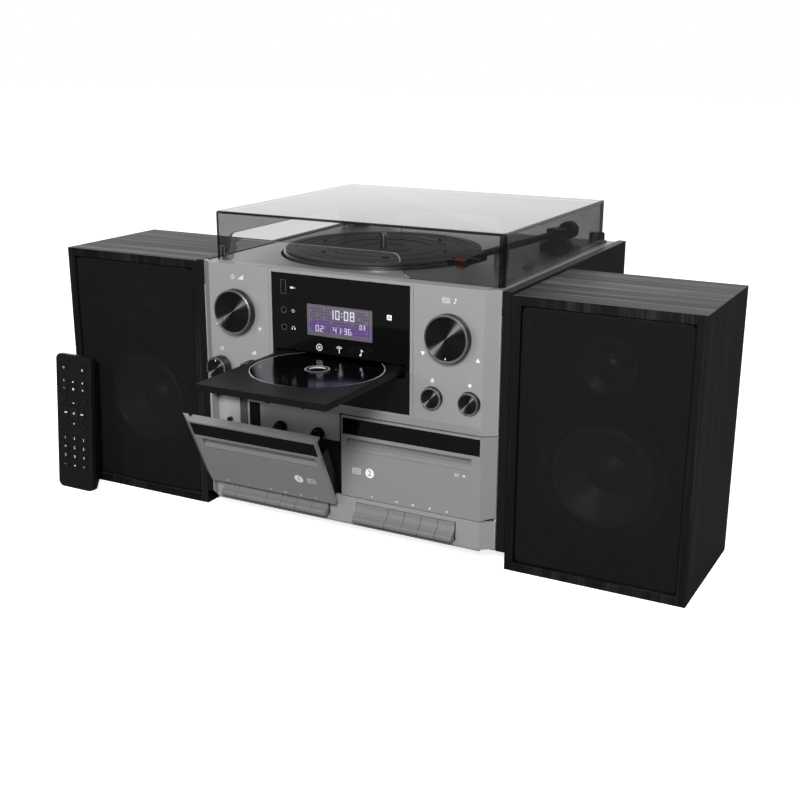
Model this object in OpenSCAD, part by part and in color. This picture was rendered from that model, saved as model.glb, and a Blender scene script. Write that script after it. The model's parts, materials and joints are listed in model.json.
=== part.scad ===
// Stereo music centre: main unit with turntable, disc tray and two cassette decks, two loudspeakers, remote.
// Sizes are in millimetres. X runs to the right, Y to the back, Z up. Places in the modules are counted
// from the floor under the middle of the fascia's front plane, and placed() moves them to the origin,
// which is the middle of the whole set's footprint on the floor.

/* [Main unit] */
// Half the width over the cabinet's sides
cabinet_half = 162.4; // [160.5:0.1:163]
// Depth from the fascia's front plane to the cabinet's back
unit_depth = 314; // [312:1:340]
// Height of the cabinet's underside above the floor
foot_height = 14.5; // [12:0.5:16]
// Thickness of the cabinet's walls
cabinet_wall = 8; // [7:0.5:9]
// Height of the cabinet's top edge
cabinet_top = 250; // [249.5:0.1:250.4]
// Radius of a foot
foot_r = 15; // [10:1:20]
// Distance of the front feet from the fascia plane
foot_front = 62; // [50:1:80]

/* [Fascia] */
// Half the width of the fascia at its chamfered edges
fascia_half = 154; // [153.6:0.1:154.2]
// Width of the upright chamfer at each side
chamfer_side = 12; // [11:0.5:13]
// Depth of the upright chamfers
chamfer_depth = 9; // [8.5:0.1:9.4]
// Thickness of the fascia's skin
skin = 3; // [2.6:0.1:3.4]
// Bottom of the fascia
fascia_bottom = 16.5; // [15:0.5:18]
// Top of the fascia
fascia_top = 251; // [250.6:0.1:251.6]
// Height at which the upper fascia's lip starts to slope back
lip_crease = 129.5; // [128:0.5:130.5]
// Bottom of the upper fascia, above the cassette doors
lip_bottom = 122.5; // [122:0.1:123.4]
// How far the lip slopes back at its bottom
lip_slope = 1.2; // [0.8:0.1:1.6]

/* [Display panel] */
// Half the width of the black panel
panel_half = 71.5; // [70:0.1:72]
// Bottom of the black panel
panel_bottom = 131.6; // [131.6:0.1:134]
// Top of the black panel
panel_top = 247.6; // [246:0.1:247.8]
// Width of the display
lcd_w = 68; // [60:0.5:72]
// Height of the display
lcd_h = 29; // [24:0.5:32]
// Height of the middle of the display and of the large knobs
row_z = 207.5; // [205:0.1:209]

/* [Knobs and buttons] */
// Distance of each large knob from the middle of the unit
big_knob_x = 110.5; // [108:0.5:112]
// Radius of a large knob
big_knob_r = 21; // [18:0.5:22]
// How far a large knob stands out
big_knob_out = 9.5; // [8:0.5:14]
// Middle of each pair of small knobs or buttons, from the middle of the unit
small_pair_x = 112; // [110:0.5:113]
// Half the distance between the two of a pair
small_half_gap = 18; // [16:0.5:19]
// Height of the small knobs and buttons
small_z = 151; // [148:0.5:154]
// Radius of a small button
small_r = 10; // [8:0.5:10.5]
// Radius of a small knob
small_knob_r = 11; // [9:0.5:11.5]
// How far a small knob stands out
small_knob_out = 12; // [9:0.5:14]
// How far a small button stands out
button_out = 4.5; // [4:0.1:6]
// Travel of the push buttons and of the large knobs
press_travel = 1.2; // [0.8:0.1:1.3]

/* [Disc tray] */
// Diameter of a disc
disc_d = 120; // [80:1:120]
// Half the width of the tray
tray_half = 64; // [63:0.5:64.5]
// Top of the tray
tray_top = 174.4; // [174:0.1:175]
// Thickness of the tray
tray_thick = 5.9; // [5.5:0.1:6.2]
// How far the tray stands out when open
tray_out = 129; // [126:1:130]
// Length of the tray
tray_length = 158; // [154:1:162]
// Distance of the disc's middle in front of the fascia
disc_front = 38; // [37:1:40]
// Pitch radius of the tray's drive gear
gear_r = 8; // [8:1:8]
// Number of teeth of the drive gear
gear_teeth = 16; // [16:1:16]

/* [Turntable] */
// Height of the deck's top
deck_top = 249.3; // [249:0.1:249.5]
// Place of the platter's middle, across
platter_x = -28; // [-32:1:-26]
// Place of the platter's middle, from the front
platter_y = 135; // [132:1:138]
// Radius of the platter
platter_r = 99; // [96:0.5:100]
// Top of the platter's metal
platter_top = 252.6; // [252.2:0.1:253]
// Thickness of the rubber mat
mat_thick = 2.4; // [1.6:0.1:3]
// Radius of the spindle
spindle_r = 3.55; // [3.5:0.01:3.6]
// Radius of the drum that the belt runs on
drum_r = 58; // [50:1:64]
// Radius of the motor pulley
pulley_r = 6; // [4:0.5:8]
// Distance from the spindle to the motor pulley
pulley_distance = 78; // [76:1:80]

/* [Tonearm] */
// Distance of the arm's pivot from the outside of the cover's right wall
pivot_inset = 31.5; // [30.5:0.5:33.5]
// Place of the arm's pivot, from the front
pivot_y = 228; // [226:1:232]
// Height of the arm's middle line
arm_z = 266; // [265:0.5:267]
// Distance from the pivot to the stylus
arm_length = 187; // [184:1:189]
// Angle of the resting arm from straight ahead
arm_angle = 6.1; // [5:0.1:7]
// Radius of the arm's tube
arm_r = 3.2; // [2.5:0.1:3.4]

/* [Dust cover] */
// Half the width of the cover
cover_half = 149.5; // [148:0.1:150]
// Distance of the cover's front wall behind the fascia plane
cover_front = 22; // [21:0.5:24]
// Distance of the cover's back wall behind the fascia plane
cover_back = 279; // [278:0.5:281]
// Top of the cover
cover_top = 295.4; // [294:0.1:297]
// Thickness of the cover's walls
cover_wall = 2.5; // [2:0.1:3]
// Left end of the front wall's slot, through which a large record passes
gap_left = -130; // [-132:1:-126]
// Right end of the front wall's slot
gap_right = 54.5; // [50:0.5:58]
// Front end of the left wall's slot
side_gap_front = 39.5; // [36:0.5:44]
// Back end of the left wall's slot
side_gap_back = 258; // [240:1:262]
// Height of the slots' tops
gap_top = 271; // [268:0.5:274]

/* [Cassette decks] */
// Bottom of the cassette doors
door_bottom = 43.4; // [43:0.1:44]
// Top of the cassette doors
door_top = 121.6; // [121:0.1:121.8]
// Thickness of a door's front
door_skin = 4; // [3.8:0.1:4.2]
// Angle by which an open door is tilted
door_open = 26; // [22:0.5:26.5]
// Distance of the doors' hinge line behind the fascia plane
hinge_y = 12; // [11.8:0.1:12.2]
// Height of the doors' hinge line
hinge_z = 21; // [20.8:0.1:21.4]
// Width of a cassette
cassette_w = 100.4; // [100.4:0.1:100.4]
// Distance between a cassette's two hubs
hub_gap = 42.5; // [42.5:0.1:42.5]
// Distance of a cassette's middle from the middle of the unit
cassette_x = 56; // [55.5:0.1:56.5]
// Height of the hubs
hub_z = 93; // [92:0.5:94]
// Pitch of the cassette keys
key_pitch = 17; // [16.8:0.1:17]
// Gap between two keys
key_gap = 0.5; // [0.4:0.1:0.8]

/* [Loudspeakers] */
// Width of a loudspeaker
speaker_w = 163; // [150:1:180]
// Depth of a loudspeaker
speaker_d = 137; // [120:1:180]
// Height of a loudspeaker
speaker_h = 248; // [244:1:270]
// Thickness of the loudspeakers' boards
board = 8; // [7:0.5:9]
// Gap between the cabinet and each loudspeaker
speaker_gap = 1.4; // [1:0.1:4]
// Distance of the right loudspeaker behind the fascia plane
right_front = 6.8; // [4:0.2:12]
// Distance of the left loudspeaker behind the fascia plane
left_front = 11.5; // [10:0.5:12]
// Height of the woofers' middle
woofer_z = 96; // [92:1:100]
// Radius of a woofer's frame
woofer_r = 58; // [52:1:60]
// Height of the tweeters' middle
tweeter_z = 193; // [188:1:196]
// Radius of a tweeter's frame
tweeter_r = 26; // [22:1:28]

/* [Remote control] */
// Width of the remote control
remote_w = 46.5; // [44:0.5:50]
// Length of the remote control
remote_l = 142; // [138:1:146]
// Thickness of the remote control
remote_t = 24; // [22:0.2:26]
// Lean of the remote control against the left loudspeaker
remote_lean = 4.4; // [4:0.1:4.8]
// Left edge of the remote control
remote_left = -332.5; // [-336:0.5:-330]

/* [Hidden] */
$fn = 64;
clear = 0.3;
running = 0.05;
hair = 0.4;

// Fascia skin, seen from above
flat_half = fascia_half - chamfer_side;
chamfer_angle = atan(chamfer_depth / (fascia_half - flat_half));
// Cabinet
cabinet_inner = cabinet_half - cabinet_wall;
floor_top = foot_height + cabinet_wall;
strip_w = 2.6;
strip_outer = cabinet_inner - hair;
strip_inner = strip_outer - strip_w;
strip_back = 25;
strip_top = 227;
floor_front = 26;
rear_inset = 4;
rear_thick = 2.5;
rear_y = unit_depth - rear_inset - rear_thick;
foot_back = unit_depth - 46;
foot_side = 128;
foot_pad = 1.5;
// Fascia
strip_front = chamfer_depth + hair;
top_flange_y = 14;
top_flange_t = 2;
seam_x = 75;
seam_w = 0.7;
lower_top = 42.8;
panel_flange = 3.5;
panel_flange_t = 2;
panel_back = skin + panel_flange_t;
// Display
lcd_body = 4;
lcd_depth = 7;
lcd_recess = 0.5;
lcd_frame = 3;
// Tray slot
tray_bottom = tray_top - tray_thick;
slot_half = tray_half + 3;
slot_top = tray_top + 2.6;
tray_back = tray_length - tray_out;
tray_travel = tray_out - 1;
disc_thick = 1.2;
disc_hole = 7.5;
disc_bed = 0.2;
disc_pocket = 1.9;
tray_slot_half = 17;
rack_x = -50.5;
tooth_pitch = 2 * PI * gear_r / gear_teeth;
tooth_out = 0.8;
tooth_in = 1.1;
tooth_play = 0.35;
tooth_base = 0.9;
tooth_tip = 0.45;
gear_y = 17.5;
gear_h = 3.4;
gear_disc_r = gear_r + 2.2;
gear_x = rack_x - gear_r;
slot_bottom = tray_bottom - gear_h - 0.6;
cd_base = tray_bottom - 19.5;
// Sockets
usb_x = -58.6;
usb_z = 235;
usb_w = 5.1;
usb_h = 12.5;
usb_deep = 13.5;
usb_shell = 0.5;
jack_x = -58.4;
aux_z = 213.5;
phones_z = 197.5;
jack_ring = 3.1;
jack_bore = 1.8;
jack_deep = 14;
jack_block = 4.5;
socket_out = 8;
clip_pitch = 14;
clip_height = 24;
clip_deep = 7;
rear_clips = [-129, 61];
speaker_clip_z = 98;
function clip_width(count) = count * clip_pitch + 4;
// Shafts
big_shaft_r = 3;
small_shaft_r = 2.5;
shaft_back = 19;
knob_gap = 1.6;
encoder_front = 10;
encoder_half = 6.5;
control_board_y = 20;
board_t = 1.6;
// Turntable
deck_thick = 2.6;
plinth_bottom = deck_top - 14;
plinth_half = cabinet_inner - 0.4;
plinth_front = top_flange_y + clear;
plinth_back = rear_y - clear;
well_r = platter_r + 2.5;
well_floor = deck_top - 7.8;
rim_low = well_floor + 1.7;
bearing_r = 9;
bearing_bottom = 224;
mat_r = platter_r - 2;
mat_top = platter_top + mat_thick;
pulley_angle = 150;
pulley_x = platter_x + pulley_distance * cos(pulley_angle);
pulley_y = platter_y + pulley_distance * sin(pulley_angle);
belt_bottom = 245.6;
belt_height = 3.6;
belt_thick = 0.8;
belt_gap = 0.3;
belt_steps = 72;
motor_r = 17;
motor_height = 26;
motor_shaft_r = 1.2;
motor_top = well_floor - deck_thick;
motor_boss_r = 5;
// Tonearm
pivot_x = cover_half - pivot_inset;
base_r = 17;
base_top = 258;
yoke_bottom = base_top + clear;
yoke_r = 11;
yoke_post_r = 4;
pivot_pin_r = 1.5;
rest_distance = 112;
head_length = 34;
head_width = 17;
weight_r = 9;
// Cover hinges
back_gap_half = 67;
slot_r = 7;
slot_lean = 5;
slot_flare = 3.4;
hinge_pin_x = cover_half - 9.5;
hinge_axis_y = cover_back + 7;
hinge_axis_z = 257;
hinge_pin_r = 2;
hinge_ring_r = 4.6;
lug_half = 4;
ear_t = 2.5;
// Cassette decks
door_gap = 0.9;
wall_y = 19.2;
wall_t = 2.5;
arm_side = flat_half + 1.2;
arm_mid = 7.6;
arm_t = 3;
arm_front = 14.6;
arm_back = 18.6;
swing_r = norm([hinge_y, lower_top + clear - hinge_z]);
function swing_z(y) = hinge_z + sqrt(pow(swing_r, 2) - pow(hinge_y - y, 2));
door_pin_r = 2;
window_top = 119.4;
window_bottom = 103.8;
window_left = 2.4;
window_right = 141;
window_t = 2;
key_bottom = 21;
key_top = 38;
key_lip = 9;
key_pivot_y = 44;
key_pivot_z = 32;
key_rod_r = 1.5;
key_well_top = key_top + 0.5;
deck1_keys = -flat_half + 10.5;
deck2_keys = 16.5;
spindle_hole = 4.6;
reel_r = 4.4;
reel_disc = 6;
reel_front = 7.5;
// Loudspeakers
right_left = cabinet_half + speaker_gap;
left_left = -cabinet_half - speaker_gap - speaker_w;
grille_inset = 0.8;
grille_gap = 0.7;
grille_t = 8;
baffle_depth = 14;
baffle_t = 9;
cone_r = 46;
cone_gap = 1;
cone_depth = 17;
// Remote
remote_r = 6;
// thickness of the case's upright edge, and how far its back tapers in from that edge
remote_edge = 5;
remote_taper = 11;
remote_key_r = 2.2;
remote_front = left_front - 0.05 - remote_t * cos(remote_lean) - (remote_l - remote_taper) * sin(remote_lean);
// Footprint
mid_x = (remote_left + right_left + speaker_w) / 2;
back_y = rear_y + rear_thick + socket_out;
mid_y = (back_y - tray_out) / 2;

// Colours
grey = [0.42, 0.42, 0.43];
black = [0.06, 0.06, 0.065];
gloss = [0.02, 0.02, 0.022];
steel = [0.75, 0.75, 0.77];
smoke = [0.35, 0.35, 0.36, 0.4];
ash = [0.08, 0.08, 0.08];

// Moves a piece from the fascia's frame to the footprint's middle
module placed() {
    translate([-mid_x, -mid_y, 0]) children();
}

// Block between two corners
module block(low, high) {
    translate(low) cube(high - low);
}

// Round bar along X, Y or Z
module rod_x(r, x0, x1, y, z) {
    translate([x0, y, z]) rotate([0, 90, 0]) cylinder(r = r, h = x1 - x0);
}
module rod_y(r, y0, y1, x, z) {
    translate([x, y0, z]) rotate([-90, 0, 0]) cylinder(r = r, h = y1 - y0);
}
module rod_z(r, z0, z1, x, y) {
    translate([x, y, z0]) cylinder(r = r, h = z1 - z0);
}

module cylinder_z(r, z0, z1) {
    rod_z(r, z0, z1, 0, 0);
}

// Outline in the YZ plane, drawn out along X
module side_shape(x0, x1, points) {
    translate([x0, 0, 0]) rotate([90, 0, 90]) linear_extrude(x1 - x0) polygon(points);
}

// Flat shape in the XZ plane, drawn out along Y
module front_shape(y0, y1) {
    translate([0, y1, 0]) rotate([90, 0, 0]) linear_extrude(y1 - y0) children();
}

// Rectangle with round corners
module soft_rect(low, high, r) {
    translate([low.x + r, low.y]) square([high.x - low.x - 2 * r, high.y - low.y]);
    translate([low.x, low.y + r]) square([high.x - low.x, high.y - low.y - 2 * r]);
    for (x = [low.x + r, high.x - r], y = [low.y + r, high.y - r]) translate([x, y]) circle(r);
}

// Turned shape about an axis along Y, from points of radius and distance in front of the fascia
module turned_y(x, z, points) {
    translate([x, 0, z]) rotate([90, 0, 0]) rotate_extrude() polygon(points);
}

// Fascia and door skin seen from above, t thick
module skin_outline(t) {
    side = fascia_half - t / sin(chamfer_angle);
    flat = flat_half - t * tan(chamfer_angle / 2);
    polygon([
        [-fascia_half, chamfer_depth], [-flat_half, 0], [flat_half, 0], [fascia_half, chamfer_depth],
        [side, chamfer_depth], [flat, t], [-flat, t], [-side, chamfer_depth]
    ]);
}

module skin_wall(t, z0, z1) {
    translate([0, 0, z0]) linear_extrude(z1 - z0) skin_outline(t);
}

// Main unit casing

module cabinet() color(black) placed() {
    difference() {
        block([-cabinet_half, chamfer_depth + clear, foot_height], [cabinet_half, unit_depth, cabinet_top]);
        block([-cabinet_inner, 0, floor_top], [cabinet_inner, unit_depth + 1, cabinet_top + 1]);
        block([-cabinet_inner, 0, 0], [cabinet_inner, floor_front, floor_top + 1]);
    }
    // battens that carry the deck
    for (s = [-1, 1]) block([s * (cabinet_inner - 2) - 2.1, 30, plinth_bottom - 8],
        [s * (cabinet_inner - 2) + 2.1, rear_y - 1, plinth_bottom]);
}

module rear_panel() color(black) placed() {
    difference() {
        block([-plinth_half, rear_y, floor_top], [plinth_half, rear_y + rear_thick, cabinet_top - 1]);
        front_shape(rear_y - 1, rear_y + rear_thick + 1) {
            translate(rear_clips - [clear, clear])
                square([clip_width(4) + 2 * clear, clip_height + 2 * clear]);
            translate([-30, 60]) square([44, 20]);
            translate([60, 40]) square([26, 18]);
            translate([110, 62]) circle(5.3);
            for (i = [0:9]) translate([-90 + i * 18, 200]) soft_rect([0, 0], [4, 26], 1.9);
        }
    }
}

module feet() color(black) placed() {
    for (x = [-foot_side, foot_side], y = [foot_front, foot_back]) {
        difference() {
            translate([x, y, 0]) cylinder(r = foot_r, h = foot_height);
            translate([x, y, -1]) cylinder(r = foot_r - 6, h = 1 + foot_pad);
        }
    }
}

module fascia() color(grey) placed() {
    difference() {
        union() {
            skin_wall(skin, fascia_bottom, lower_top);
            difference() {
                skin_wall(skin, lip_bottom, fascia_top);
                side_shape(-fascia_half - 1, fascia_half + 1,
                    [[-1, lip_crease], [0, lip_crease], [lip_slope, lip_bottom - 1], [-1, lip_bottom - 1]]);
            }
            block([-flat_half, skin - 0.5, fascia_top - top_flange_t], [flat_half, top_flange_y, fascia_top]);
            // bottom flange, in front of the cabinet's floor
            block([-flat_half, 1, foot_height + 0.2], [flat_half, 12, fascia_bottom + 0.6]);
            block([-strip_outer, strip_front, foot_height + 0.2],
                [strip_outer, floor_front - clear, fascia_bottom + 0.6]);
            for (s = [-1, 1]) {
                // upright strip that runs inside the cabinet and ties both halves together
                strip(s, strip_front, strip_back, fascia_bottom, strip_top);
                strip(s, chamfer_depth - 0.8, strip_front + 1, fascia_bottom, lower_top);
                strip(s, chamfer_depth - 0.8, strip_front + 1, lip_bottom, strip_top);
                // bushes for the large knobs' shafts
                rod_y(big_shaft_r + 2.5, skin - 0.5, skin + 4, s * big_knob_x, row_z);
            }
        }
        block([-panel_half - clear, -1, panel_bottom - clear],
            [panel_half + clear, skin + 1, panel_top + clear]);
        for (s = [-1, 1]) {
            block([s * seam_x - seam_w / 2, -1, lip_crease], [s * seam_x + seam_w / 2, 0.6, fascia_top + 1]);
            rod_y(big_shaft_r + running, -1, skin + 5, s * big_knob_x, row_z);
            rod_y(small_shaft_r + running, -1, skin + 1, -small_pair_x + s * small_half_gap, small_z);
            rod_y(small_r + clear, -1, skin + 1, small_pair_x + s * small_half_gap, small_z);
        }
        // wells for the two rows of keys
        block([deck1_keys - key_gap, -1, key_bottom - 0.6],
            [deck1_keys + 7 * key_pitch + key_gap, skin + 1, key_well_top]);
        block([deck2_keys - key_gap, -1, key_bottom - 0.6],
            [deck2_keys + 6 * key_pitch + key_gap, skin + 1, key_well_top]);
    }
}

module strip(s, y0, y1, z0, z1) {
    middle = s * (strip_inner + strip_w / 2);
    block([middle - strip_w / 2, y0, z0], [middle + strip_w / 2, y1, z1]);
}

module display_panel() color(gloss) placed() {
    difference() {
        union() {
            block([-panel_half, 0, panel_bottom], [panel_half, skin + 0.5, panel_top]);
            block([-panel_half - panel_flange, skin, panel_bottom],
                [panel_half + panel_flange, panel_back, panel_top]);
        }
        block([-lcd_w / 2 - clear, -1, row_z - lcd_h / 2 - clear],
            [lcd_w / 2 + clear, panel_back + 1, row_z + lcd_h / 2 + clear]);
        block([-slot_half, -1, slot_bottom], [slot_half, panel_back + 1, slot_top]);
        block([usb_x - usb_w / 2 - clear, -1, usb_z - usb_h / 2 - clear],
            [usb_x + usb_w / 2 + clear, panel_back + 1, usb_z + usb_h / 2 + clear]);
        for (z = [aux_z, phones_z]) rod_y(jack_ring + 0.1, -1, panel_back + 1, jack_x, z);
    }
}

module lcd_module() color([0.72, 0.68, 0.86]) placed() {
    difference() {
        union() {
            front_shape(lcd_recess, panel_back + clear)
                soft_rect([-lcd_w / 2, row_z - lcd_h / 2], [lcd_w / 2, row_z + lcd_h / 2], 1);
            block([-lcd_w / 2 - lcd_body, panel_back + clear, row_z - lcd_h / 2 - lcd_body],
                [lcd_w / 2 + lcd_body, panel_back + lcd_depth, row_z + lcd_h / 2 + lcd_body]);
        }
        // the glass lies a little behind its frame
        block([-lcd_w / 2 + lcd_frame / 2, 0, row_z - lcd_h / 2 + lcd_frame],
            [lcd_w / 2 - lcd_frame / 2, lcd_recess + 0.6, row_z + lcd_h / 2 - lcd_frame / 2]);
    }
}

// Sockets in the front panel, in the back panel and on the loudspeakers' backs

module jack(x, z) {
    difference() {
        union() {
            rod_y(jack_ring, -0.4, panel_back + clear, x, z);
            block([x - jack_block, panel_back + clear, z - jack_block],
                [x + jack_block, jack_deep + 2, z + jack_block]);
        }
        rod_y(jack_bore, -1, jack_deep, x, z);
    }
}

module usb_socket() {
    difference() {
        block([usb_x - usb_w / 2, 0, usb_z - usb_h / 2], [usb_x + usb_w / 2, usb_deep, usb_z + usb_h / 2]);
        block([usb_x - usb_w / 2 + usb_shell, -1, usb_z - usb_h / 2 + usb_shell],
            [usb_x + usb_w / 2 - usb_shell, usb_deep - 2, usb_z + usb_h / 2 - usb_shell]);
    }
    block([usb_x - 1.4, 1.5, usb_z - usb_h / 2 + 0.9], [usb_x + 0.4, usb_deep - 1, usb_z + usb_h / 2 - 0.9]);
}

// Row of sprung wire clips in a panel: x and z are its lower left corner, y is the panel's outer face
module clip_row(x, y, z, count) {
    width = clip_width(count);
    difference() {
        union() {
            block([x, y - clip_deep, z], [x + width, y + 3, z + clip_height]);
            block([x - 3, y, z - 3], [x + width + 3, y + 1.6, z + clip_height + 3]);
        }
        for (i = [0:count - 1]) {
            block([x + 3.5 + i * clip_pitch, y - 1, z + 11], [x + 14.5 + i * clip_pitch, y + 4, z + 21]);
            rod_y(1.6, y - clip_deep + 2, y + 4, x + 9 + i * clip_pitch, z + 5.5);
        }
    }
    for (i = [0:count - 1])
        block([x + 4.5 + i * clip_pitch, y - 3, z + 12], [x + 13.5 + i * clip_pitch, y + 2.4, z + 20]);
}

module sockets() color([0.2, 0.2, 0.2]) placed() {
    usb_socket();
    for (z = [aux_z, phones_z]) jack(jack_x, z);
    clip_row(rear_clips.x, rear_y + rear_thick, rear_clips.y, 4);
    // line sockets, mains inlet and aerial socket in the back panel
    difference() {
        block([-29.6, rear_y - 10, 60.4], [13.6, rear_y + rear_thick, 79.6]);
        for (x = [-18, 2]) rod_y(2.1, rear_y - 6, rear_y + 20, x, 70);
    }
    for (x = [-18, 2]) difference() {
        rod_y(4.1, rear_y + rear_thick - 0.2, rear_y + rear_thick + 7, x, 70);
        rod_y(2.1, rear_y - 6, rear_y + 20, x, 70);
    }
    difference() {
        block([60.4, rear_y - 16, 40.4], [85.6, rear_y + rear_thick, 57.6]);
        block([64.5, rear_y - 12, 44.5], [81.5, rear_y + 9, 53.5]);
    }
    difference() {
        rod_y(5.2, rear_y - 8, rear_y + rear_thick + socket_out, 110, 62);
        rod_y(2.4, rear_y - 4, rear_y + rear_thick + 9, 110, 62);
    }
    clip_row(left_left + (speaker_w - clip_width(2)) / 2, left_front + speaker_d, speaker_clip_z, 2);
    clip_row(right_left + (speaker_w - clip_width(2)) / 2, right_front + speaker_d, speaker_clip_z, 2);
}

// Knobs, shafts and buttons

module big_knob(x) {
    turned_y(x, row_z, [
        [big_shaft_r + running, knob_gap], [big_knob_r, knob_gap], [big_knob_r, big_knob_out - 1.2],
        [big_knob_r - 0.9, big_knob_out], [big_knob_r - 1.7, big_knob_out],
        [big_knob_r - 2.1, big_knob_out - 0.5],
        [0, big_knob_out - 0.5], [0, big_knob_out - 2.5], [big_shaft_r + running, big_knob_out - 2.5]
    ]);
}

module big_shaft(x) {
    rod_y(big_shaft_r, -big_knob_out + 2.8, shaft_back - press_travel - 0.4, x, row_z);
    // collar that keeps the shaft in its bush
    rod_y(big_shaft_r + 1.2, skin + 4 + clear, encoder_front - clear - press_travel, x, row_z);
}

module small_knob(x) {
    turned_y(x, small_z, [
        [0, knob_gap / 2], [small_knob_r, knob_gap / 2], [small_knob_r, small_knob_out - 1],
        [small_knob_r - 0.8, small_knob_out], [small_knob_r - 1.4, small_knob_out],
        [small_knob_r - 1.7, small_knob_out - 0.4],
        [0, small_knob_out - 0.4]
    ]);
    rod_y(small_shaft_r, -1.5, shaft_back - 1, x, small_z);
}

module push_button(x) {
    turned_y(x, small_z, [
        [0, -skin - 0.4], [small_r, -skin - 0.4], [small_r, button_out - 1],
        [small_r - 0.8, button_out], [small_r - 1.4, button_out], [small_r - 1.7, button_out - 0.4],
        [0, button_out - 0.4]
    ]);
    // flange behind the fascia and plunger to the switch
    rod_y(small_r + 1.1, skin + clear, skin + 1.8, x, small_z);
    rod_y(small_shaft_r, skin + 1.5, control_board_y - press_travel - 1, x, small_z);
}

module volume_knob() color(black) placed() big_knob(-big_knob_x);
module volume_shaft() color(steel) placed() big_shaft(-big_knob_x);
module select_knob() color(black) placed() big_knob(big_knob_x);
module select_shaft() color(steel) placed() big_shaft(big_knob_x);
module mode_knob() color(black) placed() small_knob(-small_pair_x - small_half_gap);
module tone_knob() color(black) placed() small_knob(-small_pair_x + small_half_gap);
module eject_button() color(black) placed() push_button(small_pair_x - small_half_gap);
module record_button() color(black) placed() push_button(small_pair_x + small_half_gap);

// Disc player

module cd_tray() color(black) placed() {
    difference() {
        union() {
            block([-tray_half, -tray_out, tray_bottom], [tray_half, tray_back, tray_top]);
            // rack under the left edge, in mesh with the drive gear
            rack();
        }
        rod_z(disc_d / 2 + 0.8, tray_top - disc_pocket, tray_top + 1, 0, -disc_front);
        // slot for the laser and the hub
        block([-tray_slot_half, -disc_front, tray_bottom - 1],
            [tray_slot_half, tray_back - 10, tray_top + 1]);
        rod_z(tray_slot_half, tray_bottom - 1, tray_top + 1, 0, -disc_front);
        // underside hollowed in front of the disc's well
        block([-tray_half + 4, -tray_out + 4, tray_bottom - 1],
            [tray_half - 4, -disc_front - disc_d / 2 - 3, tray_top - 2]);
    }
}

// Rack teeth point to the left, towards the gear's axis
module rack() {
    teeth = floor((tray_back + tray_travel - 8) / tooth_pitch);
    block([rack_x + tooth_in, gear_y - tray_travel - 6, tray_bottom - gear_h],
        [rack_x + 5, tray_back, tray_bottom + 0.5]);
    for (i = [-2:teeth]) {
        y = gear_y - i * tooth_pitch;
        if (y < tray_back - 1 && y > gear_y - tray_travel - 5)
            translate([rack_x, y, tray_bottom - gear_h]) linear_extrude(gear_h + 0.1)
                polygon([[tooth_in + 0.1, -tooth_base], [-tooth_out, -tooth_tip],
                    [-tooth_out, tooth_tip], [tooth_in + 0.1, tooth_base]]);
    }
}

module compact_disc() color([0.2, 0.22, 0.26]) placed() {
    difference() {
        rod_z(disc_d / 2, tray_top - disc_pocket + disc_bed,
            tray_top - disc_pocket + disc_bed + disc_thick, 0, -disc_front);
        rod_z(disc_hole, tray_top - 9, tray_top + 1, 0, -disc_front);
    }
}

function gear_tooth(i) = let (a = i * 360 / gear_teeth, half = 360 / gear_teeth / 4,
        low = gear_r - tooth_in, high = gear_r + tooth_out, play = tooth_play / gear_r * 180 / PI / 2) [
    [low * cos(a - half + play), low * sin(a - half + play)],
    [high * cos(a - half / 2.2), high * sin(a - half / 2.2)],
    [high * cos(a + half / 2.2), high * sin(a + half / 2.2)],
    [low * cos(a + half - play), low * sin(a + half - play)]
];

module tray_gear() color([0.85, 0.85, 0.8]) placed() {
    translate([gear_x, gear_y, 0]) difference() {
        union() {
            translate([0, 0, tray_bottom - gear_h - 1]) linear_extrude(gear_h)
                rotate(180 / gear_teeth) polygon([for (i = [0:gear_teeth - 1]) each gear_tooth(i)]);
            translate([0, 0, tray_bottom - gear_h - 4]) cylinder(r = gear_disc_r, h = 3.1);
        }
        translate([0, 0, tray_bottom - 20]) cylinder(r = 2 + running, h = 30);
    }
}

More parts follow.
